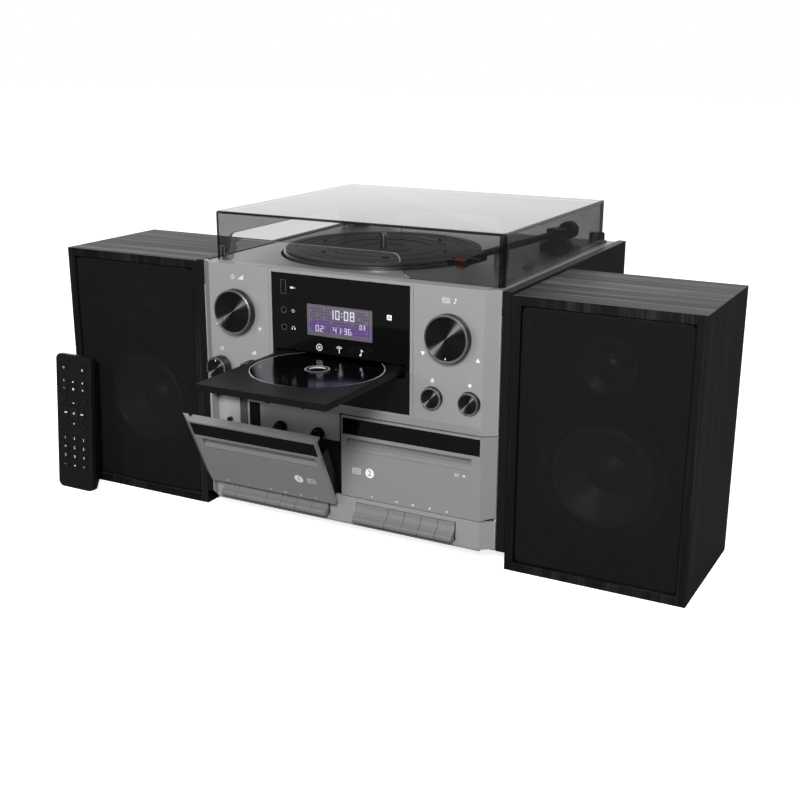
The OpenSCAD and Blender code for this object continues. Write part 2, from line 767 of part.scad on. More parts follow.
module cd_chassis() color([0.13, 0.13, 0.14]) placed() {
    front = 7;
    rail = tray_half + 0.6;
    side = rail + 4;
    deep = tray_travel + tray_back + 4;
    rail_top = tray_top + 3.4;
    hub_y = tray_travel - disc_front;
    lens_y = 61;
    rod_side = 18;
    difference() {
        union() {
            block([-side, front, cd_base], [side, deep, cd_base + 2.5]);
            for (s = [-1, 1]) {
                block([s * (side - 2) - 2, front, cd_base], [s * (side - 2) + 2, deep, rail_top]);
                block([s * (rail - 1) - 3, 24, tray_bottom - 2],
                    [s * (rail - 1) + 3, deep, tray_bottom - clear]);
                block([s * (rail - 1) - 3, front, tray_top + 0.4], [s * (rail - 1) + 3, deep, rail_top]);
            }
            // hub that turns the disc, with its motor
            rod_z(2 * disc_hole, cd_base + 2, tray_bottom - 4.5, 0, hub_y);
            rod_z(disc_hole - 0.2, cd_base + 2, tray_bottom - 1, 0, hub_y);
            rod_z(12, cd_base - 14, cd_base + 1, 0, hub_y);
            // laser on its two guide rods
            block([-rod_side - 3, lens_y - 11, cd_base + 6], [rod_side + 3, lens_y + 11, tray_bottom - 4]);
            rod_z(4, cd_base + 7, tray_bottom - 1.2, 0, lens_y);
            for (s = [-1, 1]) rod_y(1.5, lens_y - 25, lens_y + 45, s * rod_side, cd_base + 8);
            for (y = [lens_y - 27, lens_y + 43])
                block([-rod_side - 4, y, cd_base + 2], [rod_side + 4, y + 4, cd_base + 11]);
            // legs down to the deck chassis and to the floor
            for (x = [-side, side - 5]) {
                block([x, 30, lip_bottom + 3], [x + 5, 42, cd_base + 1]);
                block([x, deep - 12, floor_top], [x + 5, deep - 2, cd_base + 1]);
            }
        }
        // clearance round the gear, through the left rail
        rod_z(gear_disc_r + 0.6, tray_bottom - gear_h - 4.4, tray_bottom - clear, gear_x, gear_y);
    }
    // stud of the drive gear
    rod_z(2, cd_base + 1, tray_bottom - 2, gear_x, gear_y);
    rod_z(5, cd_base + 1, tray_bottom - gear_h - 4.3, gear_x, gear_y);
}

// Turntable

module plinth() color(grey) placed() {
    difference() {
        union() {
            difference() {
                block([-plinth_half, plinth_front, plinth_bottom], [plinth_half, plinth_back, deck_top]);
                block([-plinth_half + 3, plinth_front + 3, plinth_bottom - 1],
                    [plinth_half - 3, plinth_back - 3, deck_top - deck_thick]);
            }
            rod_z(well_r + deck_thick, well_floor - deck_thick, deck_top, platter_x, platter_y);
            rod_z(bearing_r, bearing_bottom, well_floor + 0.5, platter_x, platter_y);
            arm_frame() {
                // rest for the arm
                block([-5.5, -rest_distance - 4, deck_top - 1],
                    [5.5, -rest_distance + 4, arm_z - arm_r - 0.1]);
                block([3.8, -rest_distance - 4, deck_top - 1], [5.8, -rest_distance + 4, arm_z + 2]);
            }
        }
        difference() {
            rod_z(well_r, well_floor, deck_top + 1, platter_x, platter_y);
            rod_z(bearing_r, bearing_bottom, well_floor + 0.5, platter_x, platter_y);
        }
        rod_z(spindle_r + running, bearing_bottom + 1.5, deck_top, platter_x, platter_y);
        rod_z(motor_boss_r + 0.4, well_floor - 10, deck_top, pulley_x, pulley_y);
        rod_z(5.2, deck_top - 10, deck_top + 1, pivot_x, pivot_y);
        block([switch_x - 1.6, switch_y - 7, deck_top - 5], [switch_x + 1.6, switch_y + 15, deck_top + 1]);
        for (s = [-1, 1]) rod_z(1.3, deck_top - 5, deck_top + 1, s * hinge_pin_x, hinge_axis_y + 6);
    }
}

module platter() color(steel) placed() {
    translate([platter_x, platter_y, 0]) {
        rotate_extrude() polygon([
            [0, platter_top - 1.6], [drum_r - 2, platter_top - 1.6], [drum_r - 2, rim_low], [drum_r, rim_low],
            [drum_r, platter_top - 1.6], [platter_r - 2, platter_top - 1.6], [platter_r - 2, rim_low],
            [platter_r - 0.8, rim_low], [platter_r - 0.8, rim_low + 2.8], [platter_r, rim_low + 3.8],
            [platter_r, platter_top - 1.2],
            [platter_r - 0.9, platter_top], [0, platter_top]
        ]);
        translate([0, 0, well_floor + 0.9]) cylinder(r = 8, h = platter_top - well_floor - 1.5);
        translate([0, 0, bearing_bottom + 1.6]) cylinder(r = spindle_r, h = mat_top + 11.4 - bearing_bottom);
        translate([0, 0, mat_top + 13]) cylinder(r1 = spindle_r, r2 = 1.6, h = 2.2, $fn = 48);
    }
}

module slip_mat() color(black) placed() {
    translate([platter_x, platter_y, 0]) difference() {
        translate([0, 0, platter_top + 0.05]) cylinder(r = mat_r, h = mat_thick - 0.05);
        translate([0, 0, platter_top - 1]) cylinder(r = spindle_r + 0.2, h = mat_thick + 2);
        for (r = [49.5, 72, 82, 91]) translate([0, 0, mat_top - 0.6]) difference() {
            cylinder(r = r + 0.7, h = 1);
            translate([0, 0, -0.5]) cylinder(r = r, h = 2);
        }
        // shallow well for a record's label
        translate([0, 0, mat_top - 0.5]) cylinder(r = 46, h = 1);
    }
}

module turntable_motor() color(steel) placed() {
    translate([pulley_x, pulley_y, 0]) difference() {
        union() {
            translate([0, 0, motor_top - motor_height]) cylinder(r = motor_r, h = motor_height);
            translate([0, 0, motor_top - 1]) cylinder(r = motor_boss_r, h = 3);
        }
        translate([0, 0, motor_top - motor_height + 3])
            cylinder(r = motor_shaft_r + running, h = motor_height + 3);
    }
}

module motor_pulley() color([0.8, 0.68, 0.35]) placed() {
    translate([pulley_x, pulley_y, 0]) {
        cylinder_z(motor_shaft_r, motor_top - motor_height + 4, belt_bottom);
        cylinder_z(3, motor_top + 2.3, belt_bottom - 1);
        cylinder_z(pulley_r + 1, belt_bottom - 1.6, belt_bottom - 0.4);
        cylinder_z(pulley_r, belt_bottom - 0.6, belt_bottom + belt_height + 0.6);
    }
}

// Belt's outline round the drum and the pulley, whose radii are a and b: two arcs and their tangents
function belt_points(a, b) = let (tangent = acos((a - b) / pulley_distance)) [
    for (k = [0:belt_steps]) let (turn = tangent + k * (360 - 2 * tangent) / belt_steps)
        a * [cos(turn), sin(turn)],
    for (k = [0:belt_steps / 4]) let (turn = -tangent + k * 8 * tangent / belt_steps)
        [pulley_distance, 0] + b * [cos(turn), sin(turn)]
];

module drive_belt() color(black) placed() {
    inner = belt_gap + belt_thick;
    translate([platter_x, platter_y, belt_bottom])
        rotate(pulley_angle) linear_extrude(belt_height) difference() {
        polygon(belt_points(drum_r + inner, pulley_r + inner));
        polygon(belt_points(drum_r + belt_gap, pulley_r + belt_gap));
    }
}

// Tonearm

// Frame with its origin under the pivot and the resting arm along -Y
module arm_frame() {
    translate([pivot_x, pivot_y, 0]) rotate([0, 0, -arm_angle]) children();
}

module tonearm_base() color(black) placed() {
    difference() {
        union() {
            rod_z(base_r, deck_top + 0.05, base_top - 2, pivot_x, pivot_y);
            rod_z(base_r - 2, base_top - 2.5, base_top, pivot_x, pivot_y);
            rod_z(5, deck_top - 8, deck_top + 1, pivot_x, pivot_y);
            block([pivot_x + 5, pivot_y - 34, deck_top + 0.05], [pivot_x + 26, pivot_y, base_top - 3]);
        }
        rod_z(yoke_post_r + running, deck_top - 9, base_top + 1, pivot_x, pivot_y);
        // slot of the cue lever
        block([cue_x - 2.6, cue_y - 12, deck_top + 1], [cue_x + 2.6, cue_y + 8, base_top]);
        rod_x(1.2, cue_x - 6, cue_x + 5.4, cue_y, cue_z);
    }
    rod_x(1.2, cue_x - 6, cue_x + 5, cue_y, cue_z);
}

module tonearm_yoke() color([0.3, 0.3, 0.31]) placed() {
    arm_frame() {
        translate([0, 0, deck_top - 7]) cylinder(r = yoke_post_r, h = yoke_bottom - deck_top + 7.5);
        translate([0, 0, yoke_bottom]) cylinder(r = yoke_r, h = 2);
        for (s = [-1, 1]) block([s * 7.6 - 1.4, -5, yoke_bottom + 1.5], [s * 7.6 + 1.4, 5, arm_z + 4.5]);
        rod_x(pivot_pin_r, -8, 8, 0, arm_z);
    }
}

module tonearm() color(black) placed() {
    arm_frame() {
        difference() {
            union() {
                rod_y(arm_r, -arm_length + head_length - 6, 29, 0, arm_z);
                block([-5.6, -7, arm_z - 4.6], [5.6, 7, arm_z + 4.6]);
            }
            rod_x(pivot_pin_r + running, -9, 9, 0, arm_z);
        }
        // balance weight behind the pivot
        rod_y(weight_r, 20, 31, 0, arm_z);
        rod_y(weight_r - 2, 18.5, 20.5, 0, arm_z);
        // headshell with its finger lift
        difference() {
            block([-head_width / 2, -arm_length - 6, arm_z - 4],
                [head_width / 2, -arm_length + head_length, arm_z + 3.6]);
            block([-head_width / 2 + 1.6, -arm_length - 3, arm_z - 5],
                [head_width / 2 - 1.6, -arm_length + head_length - 8, arm_z + 1.6]);
            translate([0, 0, arm_z + 3.6]) rotate([8, 0, 0])
                translate([-head_width, -arm_length - 40, 24]) cube([2 * head_width, 60, 10]);
        }
        block([head_width / 2 - 0.5, -arm_length + 2, arm_z + 0.6],
            [head_width / 2 + 9, -arm_length + 7, arm_z + 2]);
    }
}

module cartridge() color([0.75, 0.08, 0.08]) placed() {
    arm_frame() {
        block([-5, -arm_length + 1, arm_z - 3.6], [5, -arm_length + 22, arm_z + 1.6]);
        side_shape(-3.2, 3.2, [
            [-arm_length - 1, arm_z - 3], [-arm_length + 24, arm_z - 3], [-arm_length + 24, arm_z - 4.6],
            [-arm_length + 8, arm_z - 7.2], [-arm_length + 1, arm_z - 7.6], [-arm_length - 1, arm_z - 6]
        ]);
        translate([0, -arm_length + 2.6, arm_z - 9]) cylinder(r1 = 0.25, r2 = 0.9, h = 1.8, $fn = 16);
    }
}

cue_x = pivot_x + 20;
cue_y = 202;
cue_z = 254;
module cue_lever() color(steel) placed() {
    difference() {
        union() {
            rod_x(2.6, cue_x - 2.2, cue_x + 2.2, cue_y, cue_z);
            block([cue_x - 1.3, cue_y - 22, cue_z - 0.6], [cue_x + 1.3, cue_y, cue_z + 1.9]);
            rod_y(2.2, cue_y - 26, cue_y - 21, cue_x, cue_z + 0.7);
        }
        rod_x(1.2 + running, cue_x - 5, cue_x + 5, cue_y, cue_z);
    }
}

switch_x = pivot_x + 14;
switch_y = 120;
module speed_switch() color(black) placed() {
    block([switch_x - 1.3, switch_y - 4, deck_top - 4], [switch_x + 1.3, switch_y + 4, deck_top + 2]);
    block([switch_x - 3.5, switch_y - 6, deck_top + 0.1], [switch_x + 3.5, switch_y + 6, deck_top + 3.4]);
}

// Dust cover

module dust_cover() color(smoke) placed() {
    bottom = deck_top + clear;
    difference() {
        union() {
            block([-cover_half, cover_front, bottom], [cover_half, cover_back, cover_top]);
            for (s = [-1, 1]) cover_lug(s);
        }
        block([-cover_half + cover_wall, cover_front + cover_wall, bottom - 1],
            [cover_half - cover_wall, cover_back - cover_wall, cover_top - cover_wall]);
        front_shape(cover_front - 1, cover_front + cover_wall + 1) record_slot(gap_left, gap_right, bottom);
        front_shape(cover_back - cover_wall - 1, cover_back + 1)
            record_slot(platter_x - back_gap_half, platter_x + back_gap_half, bottom);
        translate([-cover_half - 1, 0, 0]) rotate([90, 0, 90]) linear_extrude(cover_wall + 2)
            record_slot(side_gap_front, side_gap_back, bottom);
        for (s = [-1, 1])
            rod_x(hinge_pin_r + running, s * hinge_pin_x - 9, s * hinge_pin_x + 9, hinge_axis_y,
                hinge_axis_z);
    }
    // small pads inside the front corners
    for (s = [-1, 1]) block([s * (cover_half - 4.4) - 2, cover_front + cover_wall - 0.1, bottom],
        [s * (cover_half - 4.4) + 2, cover_front + cover_wall + 4, bottom + 12]);
}

// Slot from a to b that leans in towards its rounded top and flares at the cover's lower edge
module record_slot(a, b, low) {
    round_in = [for (t = [0:15:90]) slot_r * [1 - cos(t), sin(t) - 1]];
    foot = [[-slot_flare, low - 1], [-slot_flare, low + 0.3], [-slot_flare / 4, low + slot_flare / 2],
        [0, low + slot_flare]];
    left = concat([for (p = foot) p + [a, 0]], [for (p = round_in) p + [a + slot_lean, gap_top]]);
    right = concat([for (p = foot) [b - p.x, p.y]],
        [for (p = round_in) [b - slot_lean - p.x, gap_top + p.y]]);
    polygon(concat(left, [for (i = [len(right) - 1:-1:0]) right[i]]));
}

module cover_lug(s) {
    rod_x(hinge_ring_r, s * hinge_pin_x - lug_half, s * hinge_pin_x + lug_half, hinge_axis_y, hinge_axis_z);
    block([s * hinge_pin_x - lug_half, cover_back - 0.5, hinge_axis_z - 2],
        [s * hinge_pin_x + lug_half, hinge_axis_y, hinge_axis_z + hinge_ring_r]);
}

module cover_hinges() color(black) placed() {
    for (s = [-1, 1]) {
        block([s * hinge_pin_x - lug_half - ear_t - 0.4, cover_back + 1.5, deck_top],
            [s * hinge_pin_x + lug_half + ear_t + 0.4, hinge_axis_y + 12, deck_top + 2.4]);
        for (t = [-1, 1]) {
            ear = s * hinge_pin_x + t * (lug_half + 0.4 + ear_t / 2);
            rod_x(hinge_ring_r, ear - ear_t / 2, ear + ear_t / 2, hinge_axis_y, hinge_axis_z);
            block([ear - ear_t / 2, hinge_axis_y - hinge_ring_r, deck_top + 1],
                [ear + ear_t / 2, hinge_axis_y + hinge_ring_r, hinge_axis_z]);
        }
        rod_x(hinge_pin_r, s * hinge_pin_x - lug_half - 2, s * hinge_pin_x + lug_half + 2, hinge_axis_y,
            hinge_axis_z);
        rod_z(1.2, deck_top - 4, deck_top + 1, s * hinge_pin_x, hinge_axis_y + 6);
    }
}

// Cassette decks: each door is drawn closed on the right-hand side, and deck 1 mirrors it and tilts it open

module door_shell() {
    difference() {
        union() {
            intersection() {
                skin_wall(door_skin, door_bottom, door_top);
                block([door_gap, -1, 0], [fascia_half + 1, 30, 200]);
            }
            // top rim and side webs
            difference() {
                block([door_gap, door_skin - 0.5, door_top - 2.2], [flat_half, 9, door_top]);
                block([-1, -1, 0], [0, 1, 1]);
            }
            for (x = [arm_mid - arm_t, arm_side - arm_t - 1.4]) door_arm(x);
            // pocket that holds the cassette
            for (x = [cassette_x - cassette_w / 2 - 2.2, cassette_x + cassette_w / 2 + 0.4])
                block([x, door_skin - 0.5, 50], [x + 1.8, 17.4, 99]);
            block([cassette_x - cassette_w / 2 - 2.2, door_skin - 0.5, hub_z - 37.8],
                [cassette_x + cassette_w / 2 + 2.2, 17.4, hub_z - 35.4]);
        }
        // lower edge, cut back so that it swings over the lower fascia
        side_shape(-1, fascia_half + 1, concat([[-1, door_bottom - 1], [-1, swing_z(0)]],
            [for (y = [0, 4, 8, 13]) [y, swing_z(y)]], [[13, door_bottom - 1]]));
        // opening for the window
        block([window_left, -1, window_bottom], [window_right, door_skin + 1, window_top]);
        // finger ledge under the window
        side_shape(7, 133, [[-1, 100.6], [0, 100.6], [2.2, 97.6], [2.2, 94.4], [0, 91.4], [-1, 91.4]]);
        block([7, -1, 88], [133, 0.5, 88.7]);
        for (x = [arm_mid - arm_t - 1, arm_side - arm_t - 2.4])
            rod_x(door_pin_r + running, x, x + arm_t + 2, hinge_y, hinge_z);
    }
}

// Arm from the hinge pin up behind the lower fascia and forward to the door's front
module door_arm(x) {
    side_shape(x, x + arm_t, [
        [arm_front, hinge_z - 2], [arm_back, hinge_z - 2], [arm_back, 62], [door_skin - 0.5, 80],
        [door_skin - 0.5, 47.5], [arm_front, 46.5]
    ]);
    difference() {
        rod_x(3.4, x, x + arm_t, hinge_y, hinge_z);
        rod_x(door_pin_r + running, x - 1, x + arm_t + 1, hinge_y, hinge_z);
    }
    block([x, hinge_y, hinge_z - 2], [x + arm_t, arm_back, hinge_z + 3]);
}

module door_window() {
    block([window_left + 0.1, 0.3, window_bottom + 0.1],
        [window_right - 0.1, 0.3 + window_t, window_top - 0.1]);
}

// Tilts a piece forward about the doors' hinge line
module tilted(angle) {
    translate([0, hinge_y, hinge_z]) rotate([angle, 0, 0]) translate([0, -hinge_y, -hinge_z]) children();
}

module deck1_door() color(grey) placed() tilted(door_open) mirror([1, 0, 0]) door_shell();
module deck1_window() color(gloss) placed() tilted(door_open) mirror([1, 0, 0]) door_window();
module deck2_door() color(grey) placed() door_shell();
module deck2_window() color(gloss) placed() door_window();

module deck_chassis() color([0.5, 0.5, 0.51]) placed() {
    hubs = [-cassette_x - hub_gap / 2, -cassette_x + hub_gap / 2];
    side = strip_inner - clear;
    wall_back = wall_y + wall_t;
    deck_back = 62;
    web = 3;
    guide_x = 121;
    slot_x = 110;
    difference() {
        union() {
            block([-side, wall_y, floor_top + 0.1], [side, wall_back, lip_bottom + 3]);
            block([-side, wall_y, lip_bottom + 0.5], [side, deck_back - 2, lip_bottom + 3]);
            // rails that stand on the cabinet's floor, and the webs between them and the top
            block([-side, floor_front + 1, floor_top], [side, deck_back, floor_top + web]);
            block([-side, wall_y, floor_top + 0.1], [side, deck_back, floor_top + web]);
            for (x = [-flat_half - web / 3, -web / 2, flat_half - 2])
                block([x, wall_y, floor_top + 1], [x + web, deck_back, lip_bottom + 1]);
        }
        for (x = hubs) rod_y(spindle_hole, wall_y - 1, wall_back + 1, x, hub_z);
        // tape guide recess and slot beside the cassette
        for (s = [-1, 1]) {
            block([s * guide_x - 4.6, wall_y - 1, 52], [s * guide_x + 4.6, wall_y + 1.4, 119]);
            block([s * slot_x - 4.2, wall_y - 1, 56], [s * slot_x + 4.2, wall_back + 1, 110.5]);
        }
        // way through for the key levers
        block([deck1_keys - 2, wall_y - 1, key_bottom + 2], [-9, wall_back + 1, key_well_top]);
        block([9.5, wall_y - 1, key_bottom + 2],
            [deck2_keys + 6 * key_pitch + 2, wall_back + 1, key_well_top]);
    }
    // pins of the doors' hinges, carried by ears beside each arm
    for (s = [-1, 1]) {
        door_pin(s * (arm_side - 1.4 + clear), s);
        door_pin(s * (arm_mid - arm_t - clear), -s);
    }
    // rod and ears of the key levers
    rod_x(key_rod_r, -flat_half - 1, flat_half + 1, key_pivot_y, key_pivot_z);
    // playing heads under the cassettes and hub spindles of deck 2
    for (s = [-1, 1]) {
        block([s * cassette_x - 8, 8, 48], [s * cassette_x + 8, wall_y + 0.5, 54.5]);
        rod_y(4, 10, wall_y + 0.5, s * cassette_x - 30, 51);
    }
    for (x = hubs) rod_y(reel_r, reel_front + 1, wall_y + 0.5, -x, hub_z);
    // bearings of deck 1's hubs
    for (x = hubs) difference() {
        rod_y(7, wall_back - 0.2, wall_back + 8, x, hub_z);
        rod_y(2 + running, wall_y, wall_back + 9, x, hub_z);
    }
    // small springs that press on the cassette
    for (x = [-98, -57]) block([x - 4, wall_y - 2.2, 114.4], [x + 4, wall_y + 0.5, 115.6]);
}

// Hinge pin that points from its ear to the arm: x is the ear's near face, way the side that the ear is on
module door_pin(x, way) {
    rod_x(door_pin_r, min(x, x - way * 2.6), max(x, x - way * 2.6), hinge_y, hinge_z);
    low = min(x, x + way * 2.2);
    block([low, hinge_y - 3.4, hinge_z - 3.4], [low + 2.2, wall_y + 0.5, hinge_z + 5]);
}

module reel(x) {
    rod_y(reel_disc, wall_y - 3, wall_y - 0.6, x, hub_z);
    rod_y(reel_r, reel_front + 2.4, wall_y - 1, x, hub_z);
    translate([x, reel_front + 2.4, hub_z])
        rotate([90, 0, 0]) cylinder(r1 = reel_r, r2 = 1.6, h = 2.4, $fn = 48);
    for (a = [0:60:300]) translate([x, 0, hub_z]) rotate([0, a, 0])
        block([reel_r - 0.6, reel_front + 3.4, -0.6], [reel_r + 0.9, wall_y - 2, 0.6]);
    rod_y(2, wall_y - 2, wall_y + wall_t + 7, x, hub_z);
}

module supply_reel() color(black) placed() reel(-cassette_x - hub_gap / 2);
module takeup_reel() color(black) placed() reel(-cassette_x + hub_gap / 2);

// Cassette key: start is its left end, span its width in pitches
module key(start, span) {
    x0 = start + key_gap / 2;
    x1 = start + span * key_pitch - key_gap / 2;
    lever = (x0 + x1) / 2;
    side_shape(x0, x1, [
        [0, key_top], [-0.9, 34], [-2.6, 30.6], [-5.2, 28], [-8.2, 26.2], [-key_lip, 25], [-key_lip, 22.4],
        [-7.8, key_bottom], [-1.6, key_bottom + 0.6], [-0.6, 26.5], [8, 27.5], [8, key_top]
    ]);
    difference() {
        union() {
            block([lever - 4, 7, 28.5], [lever + 4, key_pivot_y, 35.5]);
            rod_x(3.5, lever - 4, lever + 4, key_pivot_y, key_pivot_z);
        }
        rod_x(key_rod_r + running, lever - 5, lever + 5, key_pivot_y, key_pivot_z);
    }
}

module deck1_record_key() color(grey) placed() key(deck1_keys, 1);
module deck1_play_key() color(grey) placed() key(deck1_keys + key_pitch, 2);
module deck1_rewind_key() color(grey) placed() key(deck1_keys + 3 * key_pitch, 1);
module deck1_forward_key() color(grey) placed() key(deck1_keys + 4 * key_pitch, 1);
module deck1_stop_key() color(grey) placed() key(deck1_keys + 5 * key_pitch, 1);
module deck1_pause_key() color(grey) placed() key(deck1_keys + 6 * key_pitch, 1);
module deck2_play_key() color(grey) placed() key(deck2_keys, 2);
module deck2_rewind_key() color(grey) placed() key(deck2_keys + 2 * key_pitch, 1);
module deck2_forward_key() color(grey) placed() key(deck2_keys + 3 * key_pitch, 1);
module deck2_stop_key() color(grey) placed() key(deck2_keys + 4 * key_pitch, 1);
module deck2_pause_key() color(grey) placed() key(deck2_keys + 5 * key_pitch, 1);

// Loudspeakers: x and y are the left front corner

module speaker_box(x, y) {
    mid = x + speaker_w / 2;
    baffle = y + baffle_depth;
    difference() {
        block([x, y, 0], [x + speaker_w, y + speaker_d, speaker_h]);
        block([x + board, y - 1, board], [x + speaker_w - board, baffle, speaker_h - board]);
        block([x + board, baffle + baffle_t, board],
            [x + speaker_w - board, y + speaker_d - board, speaker_h - board]);
        rod_y(woofer_r - 6, baffle - 1, baffle + baffle_t + 1, mid, woofer_z);
        rod_y(tweeter_r - 4, baffle - 1, baffle + baffle_t + 1, mid, tweeter_z);
        block([mid - clip_width(2) / 2 - clear, y + speaker_d - board - 1, speaker_clip_z - clear],
            [mid + clip_width(2) / 2 + clear, y + speaker_d + 1, speaker_clip_z + clip_height + clear]);
    }
}

module left_speaker_cabinet() color(ash) placed() speaker_box(left_left, left_front);
module right_speaker_cabinet() color(ash) placed() speaker_box(right_left, right_front);

module speaker_grilles() color([0.03, 0.03, 0.03]) placed() {
    for (p = [[left_left, left_front], [right_left, right_front]]) {
        y = p.y + grille_inset;
        low = [p.x + board + grille_gap, board + grille_gap];
        high = [p.x + speaker_w - board - grille_gap, speaker_h - board - grille_gap];
        // cloth over a frame with a bar across
        front_shape(y, y + 0.8) translate(low) square(high - low);
        front_shape(y + 0.6, y + grille_t) difference() {
            translate(low) square(high - low);
            translate([low.x + 9, low.y + 9]) square([high.x - low.x - 18, woofer_z + woofer_r - low.y]);
            translate([low.x + 9, woofer_z + woofer_r + 18])
                square([high.x - low.x - 18, high.y - 27 - woofer_z - woofer_r]);
        }
        // pegs that press into the baffle's face
        for (x = [low.x + 5, high.x - 5], z = [low.y + 5, high.y - 5])
            rod_y(2.5, y + grille_t - 0.5, p.y + baffle_depth, x, z);
    }
}

module woofer(x, y) {
    translate([x, y, woofer_z]) rotate([-90, 0, 0]) {
        rotate_extrude() polygon([
            [cone_r + 2 * cone_gap, -4], [woofer_r, -4], [woofer_r, 0], [woofer_r - 7, 0],
            [woofer_r - 7, 12], [32, 36], [32, 56], [13.2, 56], [13.2, 38], [26, 36],
            [cone_r + 2 * cone_gap, 10]
        ]);
        cylinder_z(14, 52, 56);
        cylinder_z(10.8, 39, 53);
    }
}

module tweeter(x, y) {
    translate([x, y, tweeter_z]) rotate([-90, 0, 0]) rotate_extrude() polygon([
        [0, -2.4], [5, -2], [9, 0], [13, 0.8], [tweeter_r - 4, -3], [tweeter_r, -3], [tweeter_r, 0],
        [tweeter_r - 5, 0], [tweeter_r - 5, 12], [16, 12], [16, 28], [0, 28]
    ]);
}

module speaker_drivers() color([0.1, 0.1, 0.1]) placed() {
    for (p = [[left_left, left_front], [right_left, right_front]]) {
        woofer(p.x + speaker_w / 2, p.y + baffle_depth);
        tweeter(p.x + speaker_w / 2, p.y + baffle_depth);
    }
}

module woofer_cones() color([0.05, 0.05, 0.05]) placed() {
    for (p = [[left_left, left_front], [right_left, right_front]])
        translate([p.x + speaker_w / 2, p.y + baffle_depth, woofer_z]) rotate([-90, 0, 0]) {
            // roll surround, cone, dust cap and voice coil
            rotate_extrude() polygon([
                [0, 6], [10, 8.6], [17, 14], [17.5, 13.4], [cone_r - 7, -0.4], [cone_r - 5, -2.4],
                [cone_r - 2, -2.6], [cone_r + 1, 0.4], [cone_r, 1.6], [cone_r - 3, -0.6], [cone_r - 6, 2],
                [16, cone_depth + 1], [12.6, cone_depth + 1], [12.6, 46], [11.6, 46], [11.6, 12], [0, 8]
            ]);
        }
}

// Remote control, drawn upright and leant back against the left loudspeaker

// Places of the keys: [across, up, width, height] from the case's bottom left corner
remote_pitch = 12.4;
remote_columns = [remote_w / 2 - remote_pitch, remote_w / 2, remote_w / 2 + remote_pitch];
function key_row(z, w, h) = [for (x = remote_columns) [x, z, w, h]];
remote_keys = [
    each [for (x = [remote_columns[0], remote_columns[2]]) [x, 128, 8, 5.4]],
    each [for (x = [remote_columns[0], remote_columns[2]]) [x, 110.5, 8, 15]],
    each [for (z = [106.8, 114.2]) [remote_columns[1], z, 8, 5.4]],
    each [for (x = [remote_columns[0] - 1, remote_columns[2] + 1], z = [67, 95]) [x, z, 6.6, 5]],
    each [for (d = [[0, 11.2, 13, 4.6], [0, -11.2, 13, 4.6], [-11.2, 0, 4.6, 13], [11.2, 0, 4.6, 13]])
        [remote_w / 2 + d[0], 81 + d[1], d[2], d[3]]],
    [remote_w / 2, 81, 11, 11],
    for (i = [0:3]) each key_row(54 - 9.6 * i, 7.6, 5.6)
];

module upright(low_x) {
    translate([low_x, remote_front, remote_edge * sin(remote_lean)]) rotate([-remote_lean, 0, 0])
        children();
}

// Depth outline of the case along one of its two directions: full size at the front, narrower at the back
function tapered_points(size) = [
    [0, 0], [remote_edge, 0], [remote_t, remote_taper], [remote_t, size - remote_taper],
    [remote_edge, size], [0, size]
];
module tapered_section(size) {
    polygon([for (p = tapered_points(size)) [p.y, p.x]]);
}

module remote_case() color(black) placed() upright(remote_left) {
    difference() {
        intersection() {
            front_shape(0, remote_t) soft_rect([0, 0], [remote_w, remote_l], remote_r);
            linear_extrude(remote_l) tapered_section(remote_w);
            side_shape(0, remote_w, tapered_points(remote_l));
        }
        front_shape(1.6, 6) soft_rect([2.2, 2.2], [remote_w - 2.2, remote_l - 2.2], remote_r - 2.2);
        front_shape(-1, 2) for (k = remote_keys)
            soft_rect([k[0] - k[2] / 2 - 0.2, k[1] - k[3] / 2 - 0.2],
                [k[0] + k[2] / 2 + 0.2, k[1] + k[3] / 2 + 0.2], remote_key_r + 0.1);
        // battery bay
        front_shape(8, remote_t - 2) soft_rect([remote_taper + 1, remote_taper + 2],
            [remote_w - remote_taper - 1, 68], 3);
    }
}

module remote_keypad() color([0.2, 0.2, 0.2]) placed() upright(remote_left) {
    front_shape(1.6, 3.4) soft_rect([2.5, 2.5], [remote_w - 2.5, remote_l - 2.5], remote_r - 2.5);
    front_shape(-1, 2) for (k = remote_keys)
        soft_rect([k[0] - k[2] / 2, k[1] - k[3] / 2], [k[0] + k[2] / 2, k[1] + k[3] / 2], remote_key_r);
}

// Inside the cabinet

// Laminated core with the winding through its two windows, on a foot
module transformer() color([0.45, 0.44, 0.42]) placed() {
    x = -104;
    y = 247.5;
    core = [28, 22.5, 48];
    window = [10, 28];
    winding = [18.6, 31.5, 27.2];
    low = floor_top + 2;
    window_low = low + (core.z - window.y) / 2;
    difference() {
        block([x - core.x, y - core.y, low], [x + core.x, y + core.y, low + core.z]);
        for (s = [-1, 1]) block(
            [x + s * (winding.x + 0.4 - window.x / 2) - window.x / 2, y - core.y - 1, window_low],
            [x + s * (winding.x + 0.4 - window.x / 2) + window.x / 2, y + core.y + 1, window_low + window.y]);
    }
    block([x - winding.x, y - winding.y, window_low + 0.4],
        [x + winding.x, y + winding.y, window_low + 0.4 + winding.z]);
    block([x - core.x - 8, y - 9, floor_top], [x + core.x + 8, y + 9, low + 0.5]);
}

